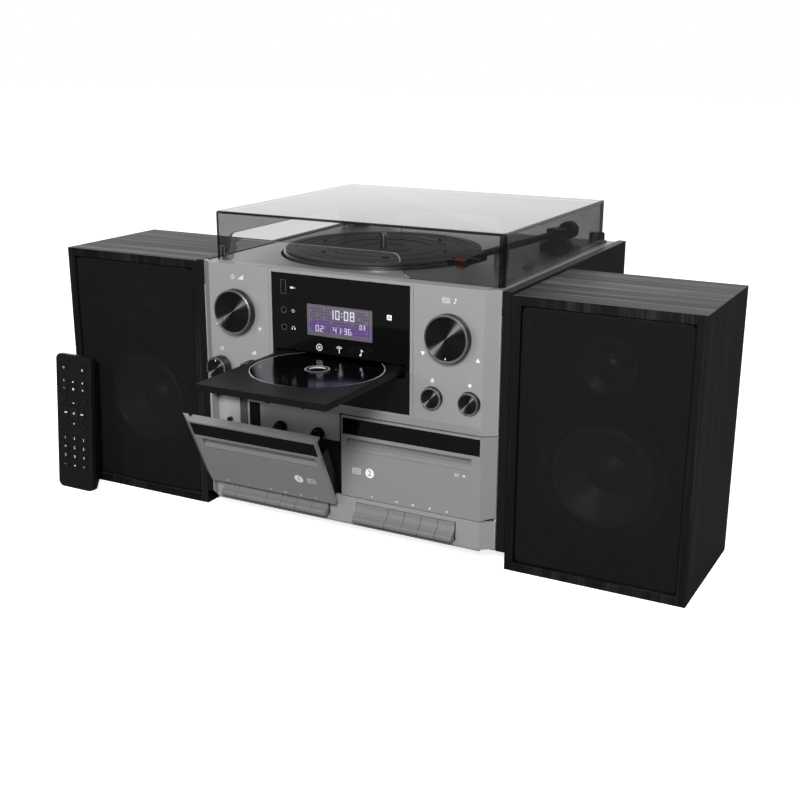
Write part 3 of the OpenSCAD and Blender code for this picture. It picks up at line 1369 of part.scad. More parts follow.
module circuit_boards() color([0.1, 0.32, 0.16]) placed() {
    // main board on its pillars, with a heat sink, four capacitors and a chip
    low = floor_top + 10;
    top = low + board_t;
    near = [-40, 170];
    far = [140, 290];
    block([near.x, near.y, low], [far.x, far.y, top]);
    for (x = [near.x + 6, far.x - 6], y = [near.y + 6, far.y - 6]) rod_z(3, floor_top, top - 0.5, x, y);
    block([near.x + 40, near.y + 30, top - 0.5], [near.x + 100, near.y + 36, top + 33.4]);
    for (x = [120, 144], y = [30, 56]) rod_z(8, top - 0.5, top + 22.4, near.x + x, near.y + y);
    block([near.x + 20, near.y + 60, top - 0.5], [near.x + 40, near.y + 80, top + 2.4]);
    // control boards behind the fascia, with the encoders' blocks
    for (s = [-1, 1]) difference() {
        union() {
            block([s * big_knob_x - 34, control_board_y, small_z - 13],
                [s * big_knob_x + 34, control_board_y + board_t, row_z + 28.5]);
            block([s * big_knob_x - encoder_half, encoder_front, row_z - encoder_half],
                [s * big_knob_x + encoder_half, control_board_y + 1, row_z + encoder_half]);
            for (t = [-1, 1]) board_block(s, t);
        }
        rod_y(big_shaft_r + running, 0, shaft_back, s * big_knob_x, row_z);
        for (t = [-1, 1]) if (s < 0)
            rod_y(small_shaft_r + running, 0, shaft_back, -small_pair_x + t * small_half_gap, small_z);
    }
}

// Block behind a small knob, or the switch behind a small button
module board_block(s, t) {
    x = s * small_pair_x + t * small_half_gap;
    front = s < 0 ? encoder_front : control_board_y - 0.7;
    block([x - encoder_half, front, small_z - encoder_half],
        [x + encoder_half, control_board_y + 1, small_z + encoder_half]);
}

cabinet();
rear_panel();
feet();
fascia();
display_panel();
lcd_module();
sockets();
volume_knob();
volume_shaft();
select_knob();
select_shaft();
mode_knob();
tone_knob();
eject_button();
record_button();
cd_tray();
compact_disc();
cd_chassis();
tray_gear();
plinth();
platter();
slip_mat();
turntable_motor();
motor_pulley();
drive_belt();
tonearm_base();
tonearm_yoke();
tonearm();
cartridge();
cue_lever();
speed_switch();
dust_cover();
cover_hinges();
deck1_door();
deck1_window();
deck2_door();
deck2_window();
deck_chassis();
supply_reel();
takeup_reel();
deck1_record_key();
deck1_play_key();
deck1_rewind_key();
deck1_forward_key();
deck1_stop_key();
deck1_pause_key();
deck2_play_key();
deck2_rewind_key();
deck2_forward_key();
deck2_stop_key();
deck2_pause_key();
left_speaker_cabinet();
right_speaker_cabinet();
speaker_grilles();
speaker_drivers();
woofer_cones();
remote_case();
remote_keypad();
transformer();
circuit_boards();
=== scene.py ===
"""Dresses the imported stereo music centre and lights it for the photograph's view.

Places are written in millimetres in the fascia's frame: X to the right from the middle of the fascia,
Y to the back from its front plane, Z up from the floor. Datum.at turns them into the part's frame.
"""

import json
import logging
import math
from dataclasses import dataclass, field
from enum import Enum
from functools import reduce

import bmesh
import bpy
from mathutils import Matrix, Vector

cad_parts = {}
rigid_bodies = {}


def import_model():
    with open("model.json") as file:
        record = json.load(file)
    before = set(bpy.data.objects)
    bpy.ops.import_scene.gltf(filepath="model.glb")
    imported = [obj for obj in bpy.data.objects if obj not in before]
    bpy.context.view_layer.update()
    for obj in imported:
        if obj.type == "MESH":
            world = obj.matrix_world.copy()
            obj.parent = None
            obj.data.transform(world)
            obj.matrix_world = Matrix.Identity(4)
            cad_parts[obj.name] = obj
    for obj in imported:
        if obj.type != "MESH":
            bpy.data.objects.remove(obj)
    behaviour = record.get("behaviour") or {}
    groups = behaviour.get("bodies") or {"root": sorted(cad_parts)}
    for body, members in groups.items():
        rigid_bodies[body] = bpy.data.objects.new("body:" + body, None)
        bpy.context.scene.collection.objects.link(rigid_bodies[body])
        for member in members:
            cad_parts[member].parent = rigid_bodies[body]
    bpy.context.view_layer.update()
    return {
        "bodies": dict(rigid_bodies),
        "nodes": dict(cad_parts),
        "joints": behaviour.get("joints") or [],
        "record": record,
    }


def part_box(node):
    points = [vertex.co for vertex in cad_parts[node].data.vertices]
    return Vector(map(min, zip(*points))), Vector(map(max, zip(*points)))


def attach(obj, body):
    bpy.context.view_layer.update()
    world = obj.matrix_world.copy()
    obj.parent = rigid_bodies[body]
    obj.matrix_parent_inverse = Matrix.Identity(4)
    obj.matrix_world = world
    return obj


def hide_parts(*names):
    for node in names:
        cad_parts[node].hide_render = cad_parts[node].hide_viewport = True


LOG = logging.getLogger("music_centre")
MM = 0.001
UV_SPAN_MM = 50
PRINT_DEPTH = -0.05
Colour = tuple[float, float, float]
Zone = tuple[Colour, Colour]
Point = tuple[float, float]
Polygon = list[Point]
Socket = bpy.types.NodeSocket


class Side(Enum):
    """Side of the set, seen from the front."""

    LEFT = -1
    RIGHT = 1


class Axis(Enum):
    """Direction that a turned piece's axis points in."""

    FRONT = "front"
    UP = "up"


class Mark(Enum):
    """Plain symbols that are printed beside a control."""

    PLAY = "play"
    REWIND = "rewind"
    FORWARD = "forward"
    STOP = "stop"
    PAUSE = "pause"
    RECORD = "record"
    EJECT = "eject"
    PLUS = "plus"
    MINUS = "minus"
    UP = "up"
    DOWN = "down"
    POWER = "power"
    LOUDNESS = "loudness"
    PHONES = "phones"
    AERIAL = "aerial"
    DISC = "disc"
    NOTE = "note"
    PLUG = "plug"
    LINE_IN = "line_in"
    WINDOW = "window"
    TAPE = "tape"
    DOT = "dot"


# Materials.


def scaled(colour: Colour, factor: float) -> Colour:
    """A colour times a factor, at most 1 in each channel."""
    return tuple(min(1.0, channel * factor) for channel in colour)


class NodeWork:
    """Node tree with short ways to add and wire nodes."""

    prefix = "ShaderNode"
    tree: bpy.types.NodeTree

    def add(self, kind: str, settings: dict | None = None, **values: object) -> bpy.types.Node:
        """Adds a node.

        Args:
            kind: the node's type, without the prefix.
            settings: properties of the node.
            **values: input values by socket name, with _ for a space.

        Returns:
            The node.
        """
        node = self.tree.nodes.new(self.prefix + kind)
        for key, value in (settings or {}).items():
            setattr(node, key, value)
        for key, value in values.items():
            node.inputs[key.replace("_", " ")].default_value = value
        return node

    def wire(self, source: Socket, target: Socket) -> None:
        """Joins two sockets."""
        self.tree.links.new(source, target)


class Shade(NodeWork):
    """One material's node tree."""

    def __init__(self, name: str) -> None:
        """Starts a material with its Principled surface.

        Args:
            name: the material's name.
        """
        self.material = bpy.data.materials.new(name)
        self.material.use_nodes = True
        self.tree = self.material.node_tree
        self.surface = self.tree.nodes["Principled BSDF"]
        self.output = self.tree.nodes["Material Output"]

    def set(self, **values: object) -> None:
        """Sets the surface's inputs by socket name, with _ for a space."""
        for key, value in values.items():
            self.surface.inputs[key.replace("_", " ")].default_value = value

    def placed(self, scale: Colour = (1, 1, 1)) -> Socket:
        """Object coordinates, scaled by a factor for each axis."""
        mapping = self.add("Mapping", {"vector_type": "POINT"}, Scale=scale)
        self.wire(self.add("TexCoord").outputs["Object"], mapping.inputs["Vector"])
        return mapping.outputs["Vector"]

    def noise(self, scale: Colour = (1, 1, 1), **values: object) -> Socket:
        """Soft noise in object coordinates.

        Args:
            scale: factor for each axis, per metre.
            **values: input values of the noise by socket name.

        Returns:
            The value socket.
        """
        cloud = self.add("TexNoise", **values)
        self.wire(self.placed(scale), cloud.inputs["Vector"])
        return cloud.outputs["Fac"]

    def bump(self, height: Socket, strength: float, distance: float, edge_mm: float = 0.0) -> Socket:
        """Relief.

        Args:
            height: what it follows.
            strength: share of the relief that shows.
            distance: its height in metres.
            edge_mm: radius of the soft edges below it, or 0 for none.

        Returns:
            The normal socket.
        """
        bump = self.add("Bump", Strength=strength, Distance=distance)
        self.wire(height, bump.inputs["Height"])
        if edge_mm > 0:
            edge = self.add("Bevel", {"samples": 4}, Radius=edge_mm * MM)
            self.wire(edge.outputs["Normal"], bump.inputs["Normal"])
        return bump.outputs["Normal"]

    def blend(self, kind: str, factor: Socket | float, first: Socket, second: Socket | Colour) -> Socket:
        """Blend of two colours.

        Args:
            kind: MIX or MULTIPLY.
            factor: how much of the second counts, from 0 to 1.
            first: colour below.
            second: colour on top, as a socket or as three numbers.

        Returns:
            The colour socket.
        """
        mix = self.add("Mix", {"data_type": "RGBA", "blend_type": kind})
        self.wire(first, mix.inputs[6])
        if isinstance(factor, Socket):
            self.wire(factor, mix.inputs[0])
        else:
            mix.inputs[0].default_value = factor
        if isinstance(second, Socket):
            self.wire(second, mix.inputs[7])
        else:
            mix.inputs[7].default_value = (*second, 1)
        return mix.outputs[2]

    def tints(self, driver: Socket, low: Colour, high: Colour) -> Socket:
        """Colour that runs between two tints.

        Args:
            driver: number from 0 to 1.
            low: colour at 0.
            high: colour at 1.

        Returns:
            The colour socket.
        """
        mix = self.add("Mix", {"data_type": "RGBA"})
        mix.inputs[6].default_value = (*low, 1)
        mix.inputs[7].default_value = (*high, 1)
        self.wire(driver, mix.inputs[0])
        return mix.outputs[2]

    def math(self, operation: str, *terms: Socket | float) -> Socket:
        """Result of an operation on sockets or plain numbers."""
        node = self.add("Math", {"operation": operation})
        for term, target in zip(terms, node.inputs):
            if isinstance(term, Socket):
                self.wire(term, target)
            else:
                target.default_value = term
        return node.outputs["Value"]

    def spread(self, driver: Socket, low: float, high: float) -> Socket:
        """Number from 0 to 1 spread over another range."""
        mapped = self.add("MapRange", To_Min=low, To_Max=high)
        self.wire(driver, mapped.inputs["Value"])
        return mapped.outputs["Result"]


MADE: dict[str, bpy.types.Material] = {}


@dataclass(frozen=True)
class Finish:
    """Moulded or painted surface with a fine grain and soft edges."""

    name: str
    colour: Colour
    roughness: float = 0.5
    metallic: float = 0.0
    coat: float = 0.0
    edge_mm: float = 0.35
    grain_mm: float = 0.7
    grain_height: float = 0.06
    mottle: float = 0.07
    specular: float = 0.5
    slot: str = ""

    def material(self) -> bpy.types.Material:
        """The finish's material, made at its first use."""
        if self.name not in MADE:
            shade = Shade(self.name)
            self.paint(shade)
            MADE[self.name] = shade.material
        return MADE[self.name]

    def paint(self, shade: Shade) -> None:
        """Fills a new material's tree."""
        surface = shade.surface
        shade.set(Metallic=self.metallic, Coat_Weight=self.coat, Coat_Roughness=0.08,
                  Specular_IOR_Level=self.specular)
        cloud = shade.noise(Scale=9.0, Detail=4.0)
        shade.wire(self.tint(shade, cloud), surface.inputs["Base Color"])
        low, high = self.roughness * 0.88, min(1.0, self.roughness * 1.12)
        shade.wire(shade.spread(cloud, low, high), surface.inputs["Roughness"])
        size = 1 / (self.grain_mm * MM)
        grain = shade.noise((size, size, size), Scale=1.0, Detail=3.0)
        relief = shade.bump(grain, self.grain_height, self.grain_mm * MM * 0.3, self.edge_mm)
        shade.wire(relief, surface.inputs["Normal"])

    def tint(self, shade: Shade, cloud: Socket) -> Socket:
        """Base colour with a slight variation."""
        return shade.tints(cloud, scaled(self.colour, 1 - self.mottle), scaled(self.colour, 1 + self.mottle))


@dataclass(frozen=True)
class MetallicPaint(Finish):
    """Grey paint with fine flakes."""

    flake_mm: float = 0.25
    flake_share: float = 0.14

    def tint(self, shade: Shade, cloud: Socket) -> Socket:
        """Base colour with flakes that are a little lighter or darker."""
        flake = shade.add("TexVoronoi")
        size = 1 / (self.flake_mm * MM)
        shade.wire(shade.placed((size, size, size)), flake.inputs["Vector"])
        grey = shade.add("SeparateColor")
        shade.wire(flake.outputs["Color"], grey.inputs["Color"])
        low, high = scaled(self.colour, 1 - self.flake_share), scaled(self.colour, 1 + self.flake_share)
        flakes = shade.tints(grey.outputs["Red"], low, high)
        return shade.blend("MULTIPLY", 1.0, flakes, shade.tints(cloud, (0.95,) * 3, (1.0,) * 3))


@dataclass(frozen=True)
class ZonedPaint(MetallicPaint):
    """Grey paint that is black in box-shaped zones and darker in shaded zones, a painted shade; the zones may
    lean about a line along X.
    """

    zones: tuple[Zone, ...] = ()
    pivot: Colour = (0.0, 0.0, 0.0)
    lean_deg: float = 0.0
    black: Colour = (0.004, 0.004, 0.0042)
    shaded: tuple[Zone, ...] = ()
    shade_tint: float = 0.72

    def tint(self, shade: Shade, cloud: Socket) -> Socket:
        """Base colour: the paint, darker in the shaded zones, a painted shade, and black in the others."""
        paint = super().tint(shade, cloud)
        if self.shaded:
            paint = shade.blend("MULTIPLY", self.inside(shade, self.shaded), paint, (self.shade_tint,) * 3)
        return shade.blend("MIX", self.inside(shade, self.zones), paint, self.black)

    def inside(self, shade: Shade, zones: tuple[Zone, ...]) -> Socket:
        """Mask of zones.

        Args:
            shade: the tree to add to.
            zones: lowest and highest corner of each.

        Returns:
            The value socket: 1 inside a zone and 0 outside all of them.
        """
        lean = math.radians(-self.lean_deg)
        pivot = Vector(self.pivot)
        mapping = shade.add("Mapping", {"vector_type": "POINT"}, Rotation=(lean, 0, 0))
        mapping.inputs["Location"].default_value = pivot - Matrix.Rotation(lean, 3, "X") @ pivot
        shade.wire(shade.add("TexCoord").outputs["Object"], mapping.inputs["Vector"])
        split = shade.add("SeparateXYZ")
        shade.wire(mapping.outputs["Vector"], split.inputs["Vector"])
        masks = []
        for low, high in zones:
            within = [shade.math("COMPARE", place, (a + b) / 2, (b - a) / 2)
                      for place, a, b in zip(split.outputs, low, high)]
            masks.append(reduce(lambda first, second: shade.math("MULTIPLY", first, second), within))
        return reduce(lambda first, second: shade.math("MAXIMUM", first, second), masks)


@dataclass(frozen=True)
class SpunFace(Finish):
    """Metal face turned on a lathe: fine rings that draw the light into wedges."""

    anisotropy: float = 0.9

    def paint(self, shade: Shade) -> None:
        """Fills a new material's tree; its rings follow the piece's own UV map."""
        surface = shade.surface
        shade.set(Metallic=1.0, Anisotropic=self.anisotropy, Anisotropic_Rotation=0.25)
        way = shade.add("Tangent", {"direction_type": "UV_MAP", "uv_map": "turned"})
        shade.wire(way.outputs["Tangent"], surface.inputs["Tangent"])
        unwrapped = shade.add("UVMap", {"uv_map": "turned"})
        split = shade.add("SeparateXYZ")
        shade.wire(unwrapped.outputs["UV"], split.inputs["Vector"])
        rings = shade.add("TexNoise", {"noise_dimensions": "1D"}, Scale=90.0, Detail=2.0)
        shade.wire(split.outputs["Y"], rings.inputs["W"])
        tint = shade.tints(rings.outputs["Fac"], scaled(self.colour, 0.6), scaled(self.colour, 1.4))
        shade.wire(tint, surface.inputs["Base Color"])
        rough = shade.spread(rings.outputs["Fac"], self.roughness * 0.8, self.roughness * 1.2)
        shade.wire(rough, surface.inputs["Roughness"])


@dataclass(frozen=True)
class DiscMirror(SpunFace):
    """Mirror layer of a disc, whose fine track splits light into colours."""

    film_nm: float = 420.0

    def paint(self, shade: Shade) -> None:
        """Fills a new material's tree."""
        super().paint(shade)
        shade.set(Anisotropic=0.7, Thin_Film_Thickness=self.film_nm, Thin_Film_IOR=1.5)


@dataclass(frozen=True)
class AshGrain(Finish):
    """Black ash foil: grain along X on the top, upright on the sides; the top's light streaks are far lighter, a
    painted sheen of the overhead light.
    """

    light: Colour = (0.02, 0.02, 0.0195)
    # Tint of the top's light streaks: a painted sheen of the overhead light.
    top_light: Colour = (0.1, 0.1, 0.097)
    along_mm: float = 90.0
    across_mm: float = 1.6
    relief_m: float = 0.0003

    def streaks(self, shade: Shade, along: int) -> Socket:
        """Streaks that run along one axis, from 0 to 1.

        Args:
            shade: the tree to add to.
            along: number of the axis.

        Returns:
            The value socket.
        """
        scale = [1 / (self.across_mm * MM)] * 3
        scale[along] = 1 / (self.along_mm * MM)
        fine = shade.noise(tuple(scale), Scale=1.0, Detail=5.0, Roughness=0.62, Distortion=0.25)
        wide = shade.noise(tuple(scale), Scale=0.16, Detail=3.0, Distortion=0.8)
        return shade.math("MULTIPLY", fine, wide)

    def paint(self, shade: Shade) -> None:
        """Fills a new material's tree."""
        surface = shade.surface
        facing = shade.add("SeparateXYZ")
        shade.wire(shade.add("NewGeometry").outputs["Normal"], facing.inputs["Vector"])
        top = shade.math("GREATER_THAN", facing.outputs["Z"])
        choose = shade.add("Mix", {"data_type": "FLOAT"})
        shade.wire(top, choose.inputs[0])
        shade.wire(self.streaks(shade, 2), choose.inputs[2])
        shade.wire(self.streaks(shade, 0), choose.inputs[3])
        streak = shade.add("MapRange", From_Min=0.22, From_Max=0.4)
        shade.wire(choose.outputs[0], streak.inputs["Value"])
        wood = shade.add("Mix", {"data_type": "RGBA"})
        shade.wire(streak.outputs["Result"], wood.inputs[0])
        wood.inputs[6].default_value = (*self.colour, 1)
        # Upward faces take the lighter streak tint: a painted sheen.
        shade.wire(shade.tints(top, self.light, self.top_light), wood.inputs[7])
        shade.wire(wood.outputs[2], surface.inputs["Base Color"])
        shade.set(Specular_IOR_Level=self.specular)
        rough = shade.spread(choose.outputs[0], self.roughness, self.roughness * 0.7)
        shade.wire(rough, surface.inputs["Roughness"])
        relief = shade.bump(choose.outputs[0], 0.35, self.relief_m, self.edge_mm)
        shade.wire(relief, surface.inputs["Normal"])


@dataclass(frozen=True)
class GrilleCloth(Finish):
    """Acoustic cloth: a fine plain weave that the cone behind shows through a little."""

    thread_mm: float = 0.8
    cover: float = 0.7
    relief_m: float = 0.0003

    def paint(self, shade: Shade) -> None:
        """Fills a new material's tree."""
        surface = shade.surface
        shade.set(Roughness=0.9, Specular_IOR_Level=self.specular, Alpha=self.cover)
        heights = []
        bands = math.pi / 10 / (self.thread_mm * MM)
        for way in ("X", "Z"):
            thread = shade.add("TexWave", {"bands_direction": way}, Scale=bands)
            shade.wire(shade.placed(), thread.inputs["Vector"])
            heights.append(thread.outputs["Fac"])
        weave = shade.math("MULTIPLY", *heights)
        tint = shade.tints(weave, scaled(self.colour, 0.45), scaled(self.colour, 1.5))
        shade.wire(tint, surface.inputs["Base Color"])
        shade.wire(shade.bump(weave, 0.5, self.relief_m), surface.inputs["Normal"])


@dataclass(frozen=True)
class ClearAcrylic(Finish):
    """Smoked clear sheet: most light goes straight through, the rest is mirrored."""

    shine: float = 0.045
    falloff: float = 3.0
    deep: float = 0.55

    def paint(self, shade: Shade) -> None:
        """Fills a new material's tree with a tinted see-through part and a gloss part."""
        shade.tree.nodes.remove(shade.surface)
        dust = shade.noise(Scale=14.0, Detail=5.0)
        clear = shade.add("BsdfTransparent")
        slant = shade.add("LayerWeight", Blend=0.5).outputs["Facing"]
        tint = shade.tints(dust, scaled(self.colour, 0.985), self.colour)
        shade.wire(shade.blend("MULTIPLY", slant, tint, (self.deep,) * 3), clear.inputs["Color"])
        gloss = shade.add("BsdfGlossy", Color=(1, 1, 1, 1), Roughness=0.03)
        mix = shade.add("MixShader")
        mirrored = shade.spread(shade.math("POWER", slant, self.falloff), self.shine, 1.0)
        shade.wire(mirrored, mix.inputs["Fac"])
        shade.wire(clear.outputs["BSDF"], mix.inputs[1])
        shade.wire(gloss.outputs["BSDF"], mix.inputs[2])
        shade.wire(mix.outputs["Shader"], shade.output.inputs["Surface"])


@dataclass(frozen=True)
class Glow(Finish):
    """Backlit part of the display."""

    strength: float = 1.0
    low_colour: Colour = (0.2, 0.1, 0.35)
    split_z: float = 0.2
    soft_m: float = 0.0006

    def paint(self, shade: Shade) -> None:
        """Fills a new material's tree: a tint below a height and another above it, with a slow drift."""
        surface = shade.surface
        shade.set(Roughness=0.35, Emission_Strength=self.strength, Base_Color=(0.02, 0.02, 0.02, 1))
        split = shade.add("SeparateXYZ")
        shade.wire(shade.add("TexCoord").outputs["Object"], split.inputs["Vector"])
        step = shade.add("MapRange", From_Min=self.split_z - self.soft_m, From_Max=self.split_z + self.soft_m)
        shade.wire(split.outputs["Z"], step.inputs["Value"])
        base = shade.tints(step.outputs["Result"], self.low_colour, self.colour)
        drift = shade.tints(shade.noise(Scale=28.0, Detail=1.0), (0.75,) * 3, (1.25,) * 3)
        shade.wire(shade.blend("MULTIPLY", 1.0, base, drift), surface.inputs["Emission Color"])


GREY = MetallicPaint("grey_metallic", (0.36, 0.36, 0.366), roughness=0.42, metallic=0.35, coat=0.08,
                     edge_mm=0.5)
# The plinth's grey is the fascia's grey darkened: a painted shade under the cover.
DECK_GREY_SHADED = MetallicPaint("deck_grey_painted_shade", (0.21, 0.21, 0.215), roughness=0.4, metallic=0.35,
                          coat=0.1, edge_mm=0.6)
KEY_GREY = MetallicPaint("key_grey_metallic", (0.24, 0.24, 0.245), roughness=0.38, metallic=0.4,
                         coat=0.1, edge_mm=0.7)
CASE_BLACK = Finish("case_black_foil", (0.006, 0.006, 0.0062), roughness=0.42, specular=0.2,
                    grain_mm=1.4, grain_height=0.12, edge_mm=0.8)
BACK_BLACK = Finish("back_black_moulding", (0.02, 0.02, 0.02), roughness=0.7, grain_height=0.15)
GLOSS_BLACK = Finish("gloss_black_panel", (0.003, 0.003, 0.0032), roughness=0.07, grain_height=0.0,
                     specular=0.4)
SATIN_BLACK = Finish("satin_black_moulding", (0.007, 0.007, 0.0075), roughness=0.34, grain_height=0.05,
                     specular=0.4)
TRAY_BLACK = Finish("tray_black_moulding", (0.006, 0.006, 0.0062), roughness=0.4, edge_mm=0.6,
                    specular=0.16)
REEL_BLACK = Finish("reel_gloss_black", (0.004, 0.004, 0.0042), roughness=0.15, edge_mm=0.3, specular=0.4)
RUBBER = Finish("black_rubber", (0.012, 0.012, 0.0125), roughness=0.55, grain_height=0.12)
MAT_RUBBER = Finish("ribbed_mat_rubber", (0.022, 0.022, 0.0225), roughness=0.5, grain_height=0.12)
KEY_RUBBER = Finish("soft_key_rubber", (0.008, 0.008, 0.0085), roughness=0.55, edge_mm=0.4, specular=0.3)
INNER = Finish("inner_moulding", (0.06, 0.06, 0.062), roughness=0.6)
NYLON = Finish("white_nylon", (0.65, 0.64, 0.58), roughness=0.45)
SOCKET_RIM = Finish("socket_rim", (0.16, 0.16, 0.165), roughness=0.3, metallic=0.6, grain_height=0.0,
                    edge_mm=0.05)
STEEL = Finish("plated_steel", (0.6, 0.6, 0.61), roughness=0.28, metallic=1.0, edge_mm=0.15)
BRASS = Finish("turned_brass", (0.72, 0.5, 0.2), roughness=0.25, metallic=1.0)
PLATTER_METAL = Finish("platter_dark_metal", (0.075, 0.075, 0.078), roughness=0.22, metallic=0.7,
                       coat=0.2, edge_mm=0.3)
SPUN_BLACK = SpunFace("spun_black_face", (0.09, 0.09, 0.093), roughness=0.38, anisotropy=1.0)
SPUN_EDGE = SpunFace("spun_bright_edge", (0.9, 0.9, 0.92), roughness=0.3, anisotropy=0.2)
ASH = AshGrain("black_ash_foil", (0.004, 0.004, 0.004), roughness=0.5, edge_mm=0.7, specular=0.2)
CLOTH = GrilleCloth("grille_weave", (0.0125, 0.0125, 0.0132), slot="grille_cloth", cover=0.84,
                    specular=0.08)
SMOKED = ClearAcrylic("smoked_acrylic", (0.8, 0.8, 0.805), shine=0.02, falloff=3.6)
# The rounded rims let through far less than the flat sheet: a painted shade along them.
SMOKED_ROUND_SHADE = ClearAcrylic("smoked_acrylic_round_painted_shade", (0.12, 0.12, 0.125), shine=0.03, falloff=5.0)
# Opaque light grey on the sheet's cut edges: a painted highlight of the light they bend.
CUT_EDGE_HIGHLIGHT = Finish("acrylic_cut_edge_painted_highlight", (0.42, 0.42, 0.43), roughness=0.3, grain_height=0.0, edge_mm=0.1)
STYLUS_RED = Finish("stylus_red_moulding", (0.8, 0.03, 0.025), roughness=0.25, coat=0.4, grain_height=0.0)
CONE = Finish("pressed_paper_cone", (0.1, 0.1, 0.103), roughness=0.42, grain_mm=1.2, grain_height=0.3)
DRIVER = Finish("driver_black_metal", (0.05, 0.05, 0.052), roughness=0.35, metallic=0.4)
INK = Finish("white_print", (0.78, 0.78, 0.78), roughness=0.6, grain_height=0.0, edge_mm=0.02)
DARK_INK = Finish("dark_print", (0.03, 0.03, 0.03), roughness=0.5, grain_height=0.0, edge_mm=0.02)
CORE = Finish("laminated_core", (0.22, 0.21, 0.2), roughness=0.4, metallic=0.8)
BOARD = Finish("green_board", (0.02, 0.12, 0.05), roughness=0.35, coat=0.3)
TERMINAL_RED = Finish("terminal_red", (0.5, 0.02, 0.02), roughness=0.35)
BEZEL = Finish("display_bezel", (0.13, 0.125, 0.135), roughness=0.35, metallic=0.3, edge_mm=0.3)


# Shapes.


@dataclass(frozen=True)
class Datum:
    """The fascia's frame inside the part's frame."""

    x: float
    y: float

    @classmethod
    def of_fascia(cls) -> "Datum":
        """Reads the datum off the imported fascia."""
        low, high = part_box("fascia")
        return cls((low.x + high.x) / 2, low.y)

    def at(self, x: float, y: float, z: float) -> Vector:
        """A place in millimetres in the fascia's frame, in metres in the part's frame."""
        return Vector((self.x + x * MM, self.y + y * MM, z * MM))


def add_object(name: str, data: bpy.types.ID) -> bpy.types.Object:
    """Puts data into the scene as an object."""
    made = bpy.data.objects.new(name, data)
    bpy.context.scene.collection.objects.link(made)
    return made


def evaluated_mesh(carrier: bpy.types.Object) -> bpy.types.Mesh:
    """The mesh that an object evaluates to; the object itself is removed."""
    bpy.context.view_layer.update()
    mesh = bpy.data.meshes.new_from_object(carrier.evaluated_get(bpy.context.evaluated_depsgraph_get()))
    bpy.data.objects.remove(carrier)
    return mesh


def publish(
    bm: bmesh.types.BMesh,
    name: str,
    body: str,
    finishes: list[Finish],
    replaces: tuple[str, ...] = (),
    crease_deg: float = 32.0,
) -> bpy.types.Object:
    """Turns a built mesh into a piece of the object.

    Args:
        bm: the mesh in the part's frame, in metres; it is freed.
        name: the piece's name.
        body: the body that the piece rides on.
        finishes: one finish for each material number.
        replaces: CAD nodes that the piece stands for.
        crease_deg: angle from which an edge stays sharp.

    Returns:
        The new object.
    """
    mesh = bpy.data.meshes.new(name)
    bm.to_mesh(mesh)
    bm.free()
    for finish in finishes:
        mesh.materials.append(finish.material())
    mesh.shade_smooth()
    mesh.set_sharp_from_angle(angle=math.radians(crease_deg))
    piece = add_object(name, mesh)
    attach(piece, body)
    if replaces:
        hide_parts(*replaces)
    LOG.info("%s: %d faces on %s", name, len(mesh.polygons), body)
    return piece


def dress(frame: dict, finish: Finish, *nodes: str) -> None:
    """Gives CAD nodes a finish.

    Args:
        finish: the finish.
        *nodes: names of the nodes.
    """
    for name in nodes:
        materials = frame["nodes"][name].data.materials
        materials.clear()
        materials.append(finish.material())
        LOG.info("%s: dressed in %s", name, finish.name)


def add_block(bm: bmesh.types.BMesh, low: Vector, high: Vector, ease: float = 0.0, part: int = 0) -> None:
    """Adds a block with eased edges.

    Args:
        bm: the mesh to add to.
        low: lowest corner in metres.
        high: highest corner in metres.
        ease: width of the eased edges in metres.
        part: material number.
    """
    made = bmesh.ops.create_cube(bm, size=1.0)["verts"]
    middle, size = (low + high) / 2, high - low
    for vert in made:
        vert.co = middle + Vector(c * s for c, s in zip(vert.co, size))
    faces = {face for vert in made for face in vert.link_faces}
    if ease > 0:
        edges = list({edge for vert in made for edge in vert.link_edges})
        result = bmesh.ops.bevel(bm, geom=edges, offset=ease, segments=3, profile=0.6, affect="EDGES")
        faces = {face for face in faces if face.is_valid} | set(result["faces"])
    for face in faces:
        face.material_index = part


def add_turned(
    bm: bmesh.types.BMesh,
    centre: Vector,
    axis: Axis,
    profile: list[tuple[float, float, int]],
    steps: int = 96,
) -> None:
    """Adds a turned shape with a UV map that runs round it.

    Its profile either starts and ends on the axis or is a closed loop beside it.

    Args:
        bm: the mesh to add to.
        centre: place on the axis, in metres, from which heights are counted.
        axis: direction in which heights grow.
        profile: radius and height in millimetres and the material number of the strip that follows.
        steps: number of faces round the axis.
    """
    uv = bm.loops.layers.uv.get("turned") or bm.loops.layers.uv.new("turned")

    def spot(radius: float, height: float, turn: float) -> Vector:
        """Place in metres of a point of the profile, turned round the axis."""
        across, up = radius * MM * math.cos(turn), radius * MM * math.sin(turn)
        if axis is Axis.UP:
            return centre + Vector((across, up, height * MM))
        return centre + Vector((across, -height * MM, up))

    rings = []
    for radius, height, _ in profile:
        if radius == 0:
            rings.append([bm.verts.new(spot(0, height, 0))])
        else:
            rings.append([bm.verts.new(spot(radius, height, 2 * math.pi * i / steps)) for i in range(steps)])
    made = []
    for row, (first, second) in enumerate(zip(rings, rings[1:])):
        for i in range(steps):
            j = (i + 1) % steps
            corners = [(first[i % len(first)], i, 0), (first[j % len(first)], i + 1, 0),
                       (second[j % len(second)], i + 1, 1), (second[i % len(second)], i, 1)]
            if len(first) == 1:
                corners.pop(0)
            elif len(second) == 1:
                corners.pop(2)
            if len({c[0] for c in corners}) < 3:
                continue
            face = bm.faces.new([c[0] for c in corners])
            face.material_index = profile[row][2]
            made.append(face)
            for loop, (_, turn, step) in zip(face.loops, corners):
                loop[uv].uv = (turn / steps, profile[row + step][0] / UV_SPAN_MM)
    bmesh.ops.recalc_face_normals(bm, faces=made)


